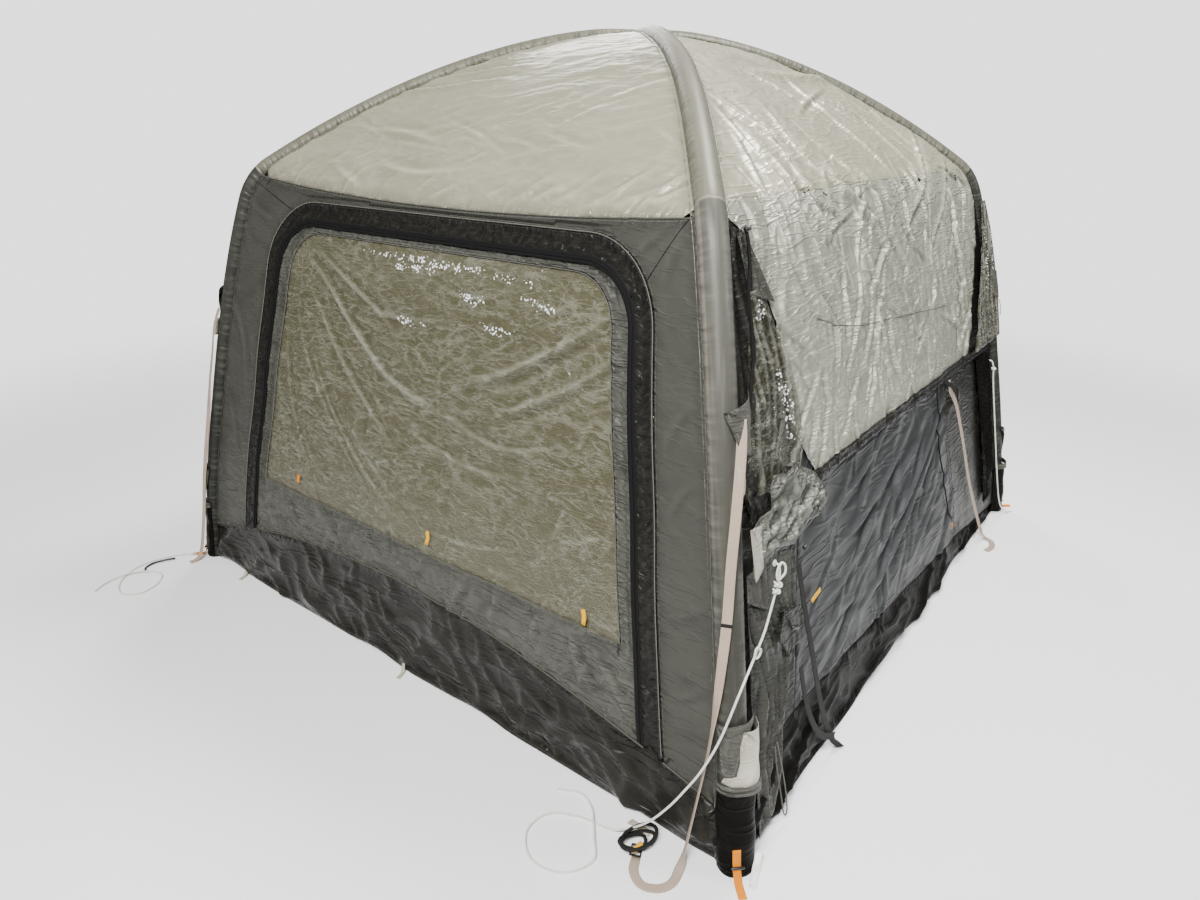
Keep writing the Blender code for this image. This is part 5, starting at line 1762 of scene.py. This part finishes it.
def sleeve(name, sign_start, sink, finish_name, nodes):
    """A cloth sleeve round a pair of beams, its two flanges stitched down on the panels beside it."""
    line = diagonal_line(sign_start, sink)
    runs = runs_of(line)
    ways = panel_ways(line, runs)
    outward = ways[0][1] + ways[1][1]
    outward = outward - runs * (outward * runs).sum(axis=1)[:, None]
    outward = outward / np.linalg.norm(outward, axis=1)[:, None]
    beside = np.cross(outward, runs)
    flip = np.sign((beside * ways[0][0]).sum(axis=1))[:, None]
    beside = beside * flip
    rings = []
    for row, centre in enumerate(line):
        axes = np.stack([beside[row], outward[row]])
        seams = [axes @ (way[row] * SLEEVE_HALF_STRIP + normal[row] * SLEEVE_LIFT) for way, normal in ways]
        rings.append(centre + sleeve_outline(*seams) @ axes)
    rings, across = np.array(rings), sleeve_across()
    if flip[0, 0] < 0:
        rings, across = rings[:, ::-1], across[::-1]
    down = distances(line)
    wobble = 1 + 0.012 * noise(down / 0.21, 0 * down, 91)
    rings = line[:, None] + (rings - line[:, None]) * wobble[:, None, None]
    obj = swept(name, line, rings, across)
    points = points_of(obj)
    points[:, 2] = np.maximum(points[:, 2], 0.0005)
    obj.data.vertices.foreach_set("co", bowed(points).ravel())
    set_value(obj, "down", np.repeat(np.abs(down - down[-1] / 2), rings.shape[1]))
    level = np.stack([line[:, 1], -line[:, 0], 0 * line[:, 2]], axis=1)
    on_left = np.sign(((rings - line[:, None]) * level[:, None]).sum(axis=2))
    set_value(obj, "left", on_left * np.abs(across))
    return settle(obj, finish_name, "sleeve_cloth", nodes)


def sleeve_outline(seam_a, seam_b):
    """A closed section in (beside, outward): flange, round tube, flange, and back round the inside."""
    radius = SLEEVE_RADIUS

    def touch(seam, turn):
        open_angle = math.acos(min(radius / np.linalg.norm(seam), 1.0))
        return math.atan2(seam[1], seam[0]) - turn * open_angle

    start, end = touch(seam_a, 1), touch(seam_b, -1)
    if end < start:
        end += 2 * math.pi
    if start > 0 and end - start > 2 * math.pi:
        end -= 2 * math.pi
    first = radius * np.array((math.cos(start), math.sin(start)))
    last = radius * np.array((math.cos(end), math.sin(end)))
    flange = np.linspace(0, 1, SLEEVE_STEPS["flange"])[:, None]
    angles = np.linspace(start, end, SLEEVE_STEPS["arc"])[1:-1]
    arc = radius * np.stack([np.cos(angles), np.sin(angles)], axis=1)
    rise = seam_a + (first - seam_a) * flange
    fall = last + (seam_b - last) * flange
    back = np.linspace(end + 0.12, start - 0.12 + 2 * math.pi, SLEEVE_STEPS["inner"])
    inner = (radius - 0.002) * np.stack([np.cos(back), np.sin(back)], axis=1)
    under_a, under_b = (place * 0.985 - np.array((0, 0.0016)) for place in (seam_a, seam_b))
    return np.vstack([rise, arc * SLEEVE_SQUASH, fall, under_b, inner * SLEEVE_SQUASH, under_a])


def sleeve_across():
    """Across the strip for each point of the section, from seam to seam, and beyond on the inside."""
    outer = 2 * SLEEVE_STEPS["flange"] + SLEEVE_STEPS["arc"] - 2
    shown = np.linspace(-SLEEVE_HALF_STRIP, SLEEVE_HALF_STRIP, outer)
    hidden = np.linspace(SLEEVE_HALF_STRIP, -SLEEVE_HALF_STRIP, SLEEVE_STEPS["inner"] + 2)
    return np.concatenate([shown, hidden])


class AWNING_OT_sleeves(bpy.types.Operator):
    """Makes the two cloth sleeves round the crossed air beams."""

    bl_idname = "awning.sleeves"
    bl_label = "Beam sleeves"

    def execute(self, context):
        for name, corners, sink, finish_name, extra in (
                (SLEEVE_NAMES[0], ("front_right", "back_left"), 0.0, "sleeve cloth", ("apex_cap",)),
                (SLEEVE_NAMES[1], ("front_left", "back_right"), 0.010, "plain sleeve cloth", ())):
            nodes = [kind + corner for kind in ("roof_beam_", "leg_beam_") for corner in corners]
            sleeve(name, CORNERS[corners[0]], sink, finish_name, tuple(nodes) + extra)
        return {"FINISHED"}


class AWNING_OT_roof(bpy.types.Operator):
    """Makes the four roof panels."""

    bl_idname = "awning.roof"
    bl_label = "Roof"

    def execute(self, context):
        for index, (name, side) in enumerate(SIDES.items()):
            outline = side_outline(side, lambda x: ROOF_TOP, eave_y(side))
            seed = 100 + 10 * index
            own = puckered(0.0022, 0.045, 0.05, 0.8, seed,
                           crumpled(0.10, 0.05, 25, 0.0022, seed + 4))
            right = name == "right"
            panel("roof_cloth_" + name, name, [outline], [], WALL_PROUD,
                  "right roof cloth" if right else "roof cloth", "roof_cloth", ("roof_" + name,), own,
                  hidden=side.y_at(TUNNEL_EAVE) if right else None)
        return {"FINISHED"}


# Routes across and up on a window wall: painted white glints on the film, toggles and the seams at its
# corners
WINDOW_GLEAM = (((-0.45, 1.395), (0.05, 1.385), (0.40, 1.375), (0.66, 1.345)),
                ((-0.20, 1.36), (0.02, 1.365), (0.16, 1.37)),
                ((-0.16, 1.215), (-0.02, 1.20), (0.10, 1.21)),
                ((0.22, 1.27), (0.34, 1.23), (0.46, 1.24)),
                ((0.36, 1.36), (0.48, 1.32), (0.60, 1.31)),
                ((0.14, 1.33), (0.24, 1.30), (0.34, 1.33)))
WINDOW_TOGGLES = (
    ("middle", "yellow webbing", ((0.124, 0.566), (0.130, 0.545), (0.122, 0.521))),
    ("right", "yellow webbing", ((0.762, 0.541), (0.770, 0.520), (0.767, 0.496))),
    ("left", "orange webbing", ((-0.586, 0.561), (-0.592, 0.546), (-0.590, 0.530))),
)
MITRES = (("right", ((0.915, 1.570), (0.812, 1.399))), ("left", ((-0.930, 1.560), (-0.665, 1.472))))


class AWNING_OT_window_walls(bpy.types.Operator):
    """Makes the three walls with a big window: surround, zip band, door panel, film, curtain, skirt."""

    bl_idname = "awning.window_walls"
    bl_label = "Window walls"

    def execute(self, context):
        for index, name in enumerate(("front", "back", "left")):
            self.wall(name, SIDES[name], 200 + 40 * index)
        return {"FINISHED"}

    def wall(self, name, side, seed):
        whole, below = side_outline(side, eave_y(side), hem_y(side)), below_seam(side)
        door, door_in = arch(side, DOOR, -0.010), arch(side, DOOR, ZIP_BAND_WIDTH - 0.010)
        band_in = arch(side, DOOR, ZIP_BAND_WIDTH - 0.006)
        window = arch(side, WINDOW, 0.012, WINDOW_BOTTOM)
        window_out = arch(side, WINDOW, -0.004, WINDOW_BOTTOM - 0.014)
        front = name == "front"
        panel(name + "_surround_cloth", name, [whole], [door, below], WALL_PROUD, "wall cloth",
              "wall_cloth", (name + "_wall_surround",), puckered(0.0030, 0.05, 0.05, 1.2, seed))
        band_relief = puckered(0.0050, 0.030, 0.03, 0.4, seed + 1,
                               crumpled(0.05, 0.025, 60, 0.0060, seed + 2))
        panel(name + "_zip_cover", name, [whole, door], [band_in, below], BAND_PROUD,
              "zip cover cloth", "zip_cover", (name + "_zip_band",) if front else (), band_relief,
              strip=ZIP_BAND_WIDTH, step=0.007)
        door_relief = puckered(0.0050, 0.040, 0.045, 1.4, seed + 3,
                               crumpled(0.09, 0.04, 70, 0.0040, seed + 4))
        panel(name + "_door_cloth", name, [whole, door_in], [window, below], WALL_PROUD,
              "door cloth", "wall_cloth", (name + "_door_panel",), door_relief)
        panel(name + "_skirt_cloth", name, [whole, below], [], WALL_PROUD, "skirt cloth",
              "skirt_cloth", (name + "_skirt",), skirt_relief(seed + 5))
        film = panel(name + "_window_film", name, [window_out], [], FILM_PROUD - 0.003, "clear film",
                     "clear_window", (name + "_window",), crumpled(0.09, 0.02, -35, 0.0014, seed + 6),
                     thickness=sizes().film_thickness)
        add_gleam(film, side, WINDOW_GLEAM, 0.034, 1.25,
                  lambda gleam, up: gleam + 0.18 * fade((up - 0.9) / 0.5))
        panel(name + "_curtain_cloth", name, [window_out], [], CURTAIN_PROUD, "curtain cloth",
              "curtain_cloth", (name + "_curtain",) if front else (),
              crumpled(0.20, 0.05, -40, 0.0020, seed + 7),
              step=sizes().far_cloth_step)
        self.seams(name, side, door, window)

    @staticmethod
    def seams(name, side, door, window):
        """Zip, piping, hems, toggles and mitred corners of one window wall."""
        floor = seam_y(side)
        zip_route = above(arch(side, DOOR, ZIP_BAND_WIDTH), floor)
        eave_xs, skirt_xs = np.linspace(-0.92, 0.92, 60), np.linspace(-1.18, 1.18, 70)
        strip(name + "_zip_tape", name, zip_route, BAND_PROUD + 0.001, 0.024, "zip tape", "zip_cover")
        seam(name + "_zip_coil", name, zip_route, BAND_PROUD + 0.003, 0.0026, "zip tape", "zip_cover")
        for label, route, proud, radius, finish_name in (
                ("_zip_piping", above(door, floor), BAND_PROUD + 0.002, 0.0018, "pale piping"),
                ("_window_hem", above(window, floor), WALL_PROUD + 0.001, 0.0012, "pale piping"),
                ("_eave_piping", np.stack([eave_xs, eave_y(side)(eave_xs)], axis=1),
                 WALL_PROUD + 0.001, 0.0018, "wall piping"),
                ("_skirt_piping", np.stack([skirt_xs, floor(skirt_xs)], axis=1),
                 WALL_PROUD + 0.001, 0.0022, "wall piping")):
            seam(name + label, name, route, proud, radius, finish_name, "wall_cloth")
        for label, finish_name, route in WINDOW_TOGGLES:
            strip(name + "_window_toggle_" + label, name, side.pattern(route), FILM_PROUD + 0.006, 0.014,
                  finish_name, "buckle_plastic", 0.004)
        for label, route in MITRES:
            seam(name + "_mitre_" + label, name, side.pattern(route), WALL_PROUD + 0.0006, 0.0011,
                 "zip tape", "wall_cloth")


class AWNING_OT_tunnel_wall(bpy.types.Operator):
    """Makes the wall that the tunnel hangs down: surround, slate door and skirt."""

    bl_idname = "awning.tunnel_wall"
    bl_label = "Tunnel wall"

    def execute(self, context):
        side = SIDES["right"]
        whole, below = side_outline(side, eave_y(side), hem_y(side)), below_seam(side)
        door = arch(side, TUNNEL_DOOR)
        proud = WALL_PROUD - 0.002
        # The right wall's surround is painted in shade, as it lies under the tunnel
        panel("right_surround_cloth", "right", [whole], [door, below], proud, "charcoal cloth",
              "wall_cloth", ("right_wall_surround",), puckered(0.004, 0.05, 0.06, 1.2, 401), step=0.013)
        panel("right_door_cloth", "right", [whole, door], [below], proud, "slate cloth", "slate_cloth",
              ("right_door_panel",), crumpled(0.40, 0.12, 28, 0.006, 402, 1))
        panel("right_skirt_cloth", "right", [whole, below], [], proud, "shaded skirt cloth",
              "skirt_cloth", ("right_skirt",), skirt_relief(403))
        return {"FINISHED"}


def bunched(seed, depth):
    """Deep folds of loose cloth hanging down."""
    def relief(side, x, y, net):
        deep = (creases(x, y, 0.30, 0.035, 90, seed, 2) - 0.45) * depth * 2
        return deep + noise(x / 0.06, y / 0.12, seed + 3) * depth * 0.5
    return relief


def tunnel_lift(side, x, y):
    """The tunnel's cloth stands further out than the roof, from a little below the eave."""
    share = fade((TUNNEL_EAVE - side.up_at(y)) / 0.12)
    return WALL_PROUD + (TUNNEL_PROUD - WALL_PROUD) * share


BEADING = ((-0.790, 0.853), (1.000, 0.850), (1.000, 0.884), (-0.790, 0.884))

# Loose cloths: name, outline, finish, slot, node, depth of the folds, and how much further out they lie
LOOSE_CLOTHS = (
    ("tunnel_gusset_cloth", NEAR_GUSSET, "wall cloth", "wall_cloth", "tunnel_near_gusset", 0.006, 0.0),
    ("tunnel_near_film", NEAR_WINDOW, "tunnel film", "clear_window", "tunnel_near_window", 0.004, 0.0),
    ("tunnel_flap_cloth", NEAR_FLAP, "flap cloth", "tunnel_cloth", "tunnel_near_flap", 0.014, 0.022),
    ("tunnel_near_cloth", NEAR_SIDE, "side cloth", "wall_cloth", "tunnel_near_side", 0.010, 0.0),
    ("tunnel_far_film", FAR_WINDOW, "far film", "clear_window", "tunnel_far_window", 0.005, 0.018),
    ("tunnel_far_cloth", FAR_SIDE, "shaded skirt cloth", "skirt_cloth", "tunnel_far_side", 0.014, 0.0),
    ("tunnel_zip_bunch", ZIP_BUNCH, "zip cover cloth", "zip_cover", None, 0.006, -0.002),
    ("tunnel_under_layer", UNDER_LAYER, "wall cloth", "wall_cloth", None, 0.004, 0.004),
    ("tunnel_film_roll", FILM_ROLL, "side cloth", "wall_cloth", None, 0.006, 0.014),
    ("tunnel_film_hollow", FILM_HOLLOW, "zip cover cloth", "zip_cover", None, 0.004, 0.010),
    ("tunnel_flap_lining", FLAP_LINING, "pale lining", "tunnel_cloth", None, 0.002, 0.032),
    ("tunnel_pocket_cloth", POCKET, "charcoal cloth", "wall_cloth", None, 0.002, 0.022),
)

# Seams: name, route, how far out, radius, finish and slot
TUNNEL_SEAMS = (
    ("tunnel_cross_seam", ((-0.666, 1.28), (-0.554, 1.241), (-0.357, 1.206), (-0.002, 1.172),
                           (0.505, 1.127)), TUNNEL_PROUD + 0.002, 0.0012, "wall piping", "tunnel_cloth"),
    ("tunnel_down_seam", ((0.70, 1.52), (0.69, 1.30), (0.683, 1.106), (0.62, 0.90)),
     TUNNEL_PROUD + 0.002, 0.0010, "wall piping", "tunnel_cloth"),
    ("tunnel_door_zip", ((0.368, 0.850), (0.370, 0.719), (0.378, 0.556), (0.449, 0.364), (0.509, 0.254)),
     WALL_PROUD + 0.002, 0.0026, "zip tape", "zip_cover"),
    ("tunnel_side_zip", ((-0.996, 1.528), (-1.009, 1.45), (-1.032, 1.401), (-1.043, 1.322),
                         (-1.057, 1.243), (-1.087, 1.19), (-1.114, 1.125), (-1.141, 1.056)),
     BUNCHED_PROUD, 0.0042, "zip tape", "zip_cover"),
)

# Tags and tapes: name, route, width, finish and slot
TUNNEL_TAGS = (
    ("tunnel_yellow_tag", ((-0.848, 0.530), (-0.792, 0.541)), 0.014, "yellow webbing", "buckle_plastic"),
    ("tunnel_orange_tag", ((0.481, 0.252), (0.481, 0.226)), 0.012, "orange webbing", "peg_webbing"),
    ("tunnel_far_tape", ((0.457, 0.845), (0.583, 0.790), (0.606, 0.745), (0.603, 0.72)), 0.018,
     "black webbing", "dark_webbing"),
)

# Knobs and toggles: name, across, up, how far out, the way they point, length, radius and finish
TUNNEL_KNOBS = (
    ("tunnel_zip_knob", -0.996, 1.533, 0.040, (0.3, 0.9, 0.3), 0.014, 0.007, "black plastic"),
    ("tunnel_bead", -0.945, 0.738, 0.062, (0.2, 1.0, 0.2), 0.012, 0.006, "black plastic"),
    ("tunnel_pocket_toggle", -1.040, 0.555, 0.060, (0.1, 0.9, -0.3), 0.026, 0.006, "black plastic"),
    ("tunnel_line_ring", -1.088, 0.752, 0.046, (1.0, 0.1, 0.1), 0.004, 0.009, "white plastic"),
)


class AWNING_OT_tunnel(bpy.types.Operator):
    """Makes the connecting tunnel that hangs down the right wall, with its side windows and flap."""

    bl_idname = "awning.tunnel"
    bl_label = "Tunnel"

    def execute(self, context):
        side = SIDES["right"]
        near_top, far_top = ((-1.022, TUNNEL_TOP), (-1.020, 1.560)), ((1.023, 1.560), (1.022, TUNNEL_TOP))
        outline = bent_to_pattern(side, near_top + TUNNEL_NEAR_EDGE + TUNNEL_FAR_EDGE + far_top)
        panel("tunnel_cloth", "right", [outline], [], tunnel_lift, "tunnel cloth", "tunnel_cloth",
              ("tunnel_roof",), crumpled(0.12, 0.05, 105, 0.0050, 501),
              hidden=side.y_at(TUNNEL_TOP))
        panel("tunnel_beading_cloth", "right", [bent_to_pattern(side, BEADING)], [],
              TUNNEL_PROUD + 0.003, "zip cover cloth", "zip_cover", ("tunnel_beading_strip",),
              crumpled(0.05, 0.02, 80, 0.003, 502), strip=0.033, step=0.006)
        for index, (name, shape, finish_name, slot, node, depth, off) in enumerate(LOOSE_CLOTHS):
            own = bunched(510 + 7 * index, depth)
            if name == "tunnel_flap_cloth":
                own = crumpled(0.10, 0.045, 35, depth * 1.6, 524, 2)
            film = slot == "clear_window"
            obj = panel(name, "right", [bent_to_pattern(side, shape)], [], BUNCHED_PROUD - 0.004 + off,
                        finish_name, slot, (node,) if node else (), own, step=0.007,
                        shared=film)
            if film:
                add_gleam(obj, side, NEAR_GLEAM if "near" in name else FAR_GLEAM, 0.055, 2.0,
                          lambda gleam, up: np.maximum(gleam, 0.25))
        for name, route, proud, radius, finish_name, slot in TUNNEL_SEAMS:
            seam(name, "right", side.pattern(route), proud, radius, finish_name, slot)
        for name, route, width, finish_name, slot in TUNNEL_TAGS:
            strip(name, "right", side.pattern(route), WALL_PROUD + 0.012, width, finish_name, slot)
        for name, across, up, off, way, length, radius, finish_name in TUNNEL_KNOBS:
            place = side.place(across, side.y_at(up), off)
            barrel(name, place, way, length, radius, finish_name)
        return {"FINISHED"}


LEG_GIRTH = (0.0385, 0.0320)


def round_leg(corner, u, up, off):
    """Places round a leg's sleeve: u metres from its outward diagonal towards the side wall."""
    centre = np.array([leg_point(1 - height / SHOULDER[2]) for height in up])
    centre[:, 2] = up
    angle = np.clip(u / SLEEVE_RADIUS, -1.45, 1.45)
    beyond = u - angle * SLEEVE_RADIUS
    out, beside = np.array((1, 1, 0)) / math.sqrt(2), np.array((1, -1, 0)) / math.sqrt(2)
    outward = (LEG_GIRTH[1] + off) * np.cos(angle) - np.abs(beyond)
    sideways = (LEG_GIRTH[0] + off) * np.sin(angle) + beyond * 0.1
    points = centre + np.outer(outward, out) + np.outer(sideways, beside)
    return points * np.array((*CORNERS[corner], 1))


def leg_patch(name, corner, outline, off, loose, finish_name, slot):
    """Cloth round a leg's sleeve, standing off it towards the side wall where it is loose."""
    net = Net([np.array(outline)], [], 0.006)
    u, up = net.points.T
    lift = off + loose * fade((u + 0.01) / 0.08) + noise(u / 0.030 + 9, up / 0.07, 77) * 0.0035
    points = round_leg(corner, u, np.maximum(up, 0.002), lift)
    faces = net.faces if np.prod(CORNERS[corner]) < 0 else net.faces[:, ::-1]
    obj = mesh_object(name + "_" + corner, points, faces, net.points, net.values(lift))
    thicken(obj, sizes().cloth_thickness)
    settle(obj, finish_name, slot)


# Outlines round a leg and up, then how far off it they lie and how much more towards the side wall
LEG_PATCHES = (
    ("cuff_lining", ((0.015, 0.415), (0.055, 0.405), (0.095, 0.400), (0.100, 0.265), (0.030, 0.262),
                     (-0.035, 0.272), (0.005, 0.360)), 0.006, 0.026, "pale lining", "tunnel_cloth"),
    ("cuff_flap", ((-0.045, 0.425), (0.058, 0.440), (0.020, 0.392), (0.000, 0.300), (-0.030, 0.290)),
     0.008, 0.010, "cuff cloth", "sleeve_cloth"),
    ("cuff_hem", ((-0.055, 0.272), (0.100, 0.264), (0.100, 0.238), (-0.055, 0.248)), 0.009, 0.026,
     "cuff cloth", "sleeve_cloth"),
    ("cuff_dark", ((-0.056, 0.250), (0.100, 0.238), (0.104, 0.100), (0.108, 0.012), (0.050, 0.003),
                   (-0.010, 0.002), (-0.060, 0.008), (-0.062, 0.120)), 0.004, 0.016,
     "shaded skirt cloth", "wall_cloth"),
    ("strap_gusset", ((-0.006, 1.168), (0.066, 1.200), (0.066, 1.090), (0.044, 1.066), (0.022, 1.078)),
     0.016, 0.012, "cuff cloth", "sleeve_cloth"),
)
ELASTIC_ROUTE = ((-1.160, 0.285), (-1.140, 0.200), (-1.120, 0.100), (-1.113, 0.040), (-1.122, 0.026),
                 (-1.136, 0.050), (-1.150, 0.120), (-1.166, 0.200), (-1.172, 0.280))


class AWNING_OT_leg_details(bpy.types.Operator):
    """Makes the cuffs at the feet, the strap gussets and their loops, on all four legs."""

    bl_idname = "awning.leg_details"
    bl_label = "Leg details"

    def execute(self, context):
        for corner in CORNERS:
            for name, *patch in LEG_PATCHES:
                if name != "cuff_lining" or corner == "front_right":
                    leg_patch(name, corner, *patch)
            bulge = 0.020 + 0.004 * np.sin(np.linspace(0, math.pi, 12))
            points = round_leg(corner, np.full(12, 0.018), np.linspace(1.052, 0.985, 12), bulge)
            loop = ribbon("strap_top_loop_" + corner, points, 0.022, 0.0035, off_leg(points))
            settle(loop, "cream webbing", "webbing")
            u = np.linspace(-0.050, 0.004, 14)
            line = round_leg(corner, u, 0.130 + 0.006 * np.sin(u * 60), np.full(14, 0.0012))
            settle(tube("cuff_stitching_" + corner, line, 0.0012, 6), "cream webbing", "webbing")
        side = SIDES["right"]
        points = np.array([side.place(across, side.y_at(up), 0.048) for across, up in ELASTIC_ROUTE])
        points = smooth_route(points, 0.005)
        elastic = settle(tube("cuff_elastic_loop", points, 0.002, 8), "pale piping", "guy_line")
        lay_cord(points, 0.004)
        return {"FINISHED"}


# A peg strap down the foot: up, and how far out from the sleeve
PEG_STRAP_ROWS = ((0.090, 0.0), (0.060, 0.0), (0.030, 0.003), (0.012, 0.010), (0.003, 0.022),
                  (0.003, 0.060))

# A pegging tab at a hem: slip along the wall, up, and how far out
HEM_TAB_ROWS = ((0.0, 0.035, 0.016), (0.004, 0.012, 0.022), (0.012, 0.004, 0.034), (0.020, 0.003, 0.060))
HEM_TAB_PLACES = (("near", 0.0), ("far", -1.02))
GROUND_TABS = (
    ("foot_pale_tab", ((1.337, -1.281, 0.040), (1.346, -1.310, 0.016), (1.361, -1.355, 0.006)),
     "white plastic"),
    ("foot_pale_webbing", ((1.001, -1.384, 0.006), (1.035, -1.388, 0.012), (1.069, -1.385, 0.006)),
     "cream webbing"),
)


def side_facing(side, points):
    """Facings of a tab that hangs on a wall and turns to lie on the ground."""
    outward = side.place(0.0, side.y_at(0.5), 1.0) - side.place(0.0, side.y_at(0.5), 0.0)
    outward[2] = 0.0
    upright = fade((points[:, 2] - 0.006) / 0.02)[:, None]
    return outward * upright + UPWARD * (1 - upright)


class AWNING_OT_peg_straps(bpy.types.Operator):
    """Makes the orange peg straps at the four feet, and the pegging tabs along the hems."""

    bl_idname = "awning.peg_straps"
    bl_label = "Peg straps"

    def execute(self, context):
        out = FOOT[:2] / np.linalg.norm(FOOT[:2])
        for corner, sign in CORNERS.items():
            level = Vector((out[0] * sign[0], out[1] * sign[1], 0.0))
            place = Vector(FOOT * (*sign, 1)) + level * (SLEEVE_RADIUS + 0.004) + Vector((0, 0, 0.040))
            barrel("peg_strap_bar_" + corner, place, level.cross(Vector((0, 0, 1))), 0.030, 0.0038,
                   "black plastic")
            route = []
            for up, reach in PEG_STRAP_ROWS:
                centre = leg_point(1 - up / SHOULDER[2])[:2] + out * (SLEEVE_RADIUS + 0.0016 + reach)
                route.append((*(centre * sign), up))
            points = smooth_route(route, 0.006)
            facings = off_ground(points, off_leg(points))
            obj = ribbon("peg_webbing_" + corner, points, 0.022, 0.002, facings)
            settle(obj, "orange webbing", "peg_webbing", ("peg_strap_" + corner,))
        self.hem_tabs()
        return {"FINISHED"}

    @staticmethod
    def hem_tabs():
        """Pale pegging tabs at the hems, and the two pale tabs beside the near foot."""
        for side_name in ("front", "back", "left"):
            side = SIDES[side_name]
            for label, across in HEM_TAB_PLACES:
                points = np.array([side.place(across + slip, side.y_at(up), off)
                                   for slip, up, off in HEM_TAB_ROWS])
                points[:, 2] = [up for slip, up, off in HEM_TAB_ROWS]
                points = smooth_route(points, 0.006)
                tab = ribbon("_".join((side_name, "hem_tab", label)), points, 0.014, 0.002,
                             side_facing(side, points))
                settle(tab, "cream webbing", "webbing")
        for name, route, finish_name in GROUND_TABS:
            points = smooth_route(route, 0.005)
            facings = np.tile(UPWARD, (len(points), 1))
            settle(ribbon(name, points, 0.020, 0.002, facings), finish_name, "webbing")


OPERATORS = (AWNING_OT_stage, AWNING_OT_straps, AWNING_OT_guy_lines, AWNING_OT_sleeves, AWNING_OT_roof,
             AWNING_OT_window_walls, AWNING_OT_tunnel_wall, AWNING_OT_tunnel, AWNING_OT_leg_details,
             AWNING_OT_peg_straps)


class AWNING_PT_sidebar(bpy.types.Panel):
    """Lists the awning's operators."""

    bl_idname = "AWNING_PT_sidebar"
    bl_label = "Drive-away awning"
    bl_space_type = "VIEW_3D"
    bl_region_type = "UI"
    bl_category = "Awning"

    def draw(self, context):
        for operator in OPERATORS:
            self.layout.operator(operator.bl_idname)


CLASSES = (AwningSizes, AwningColours, AwningView) + OPERATORS + (AWNING_PT_sidebar,)


def register():
    for item in CLASSES:
        bpy.utils.register_class(item)
    bpy.types.Scene.awning_sizes = PointerProperty(type=AwningSizes)
    bpy.types.Scene.awning_colours = PointerProperty(type=AwningColours)
    bpy.types.Scene.awning_view = PointerProperty(type=AwningView)


def unregister():
    del bpy.types.Scene.awning_sizes
    del bpy.types.Scene.awning_colours
    del bpy.types.Scene.awning_view
    for item in reversed(CLASSES):
        bpy.utils.unregister_class(item)


def main():
    register()
    for operator in OPERATORS:
        group, name = operator.bl_idname.split(".")
        getattr(getattr(bpy.ops, group), name)()


if __name__ == "__main__":
    main()
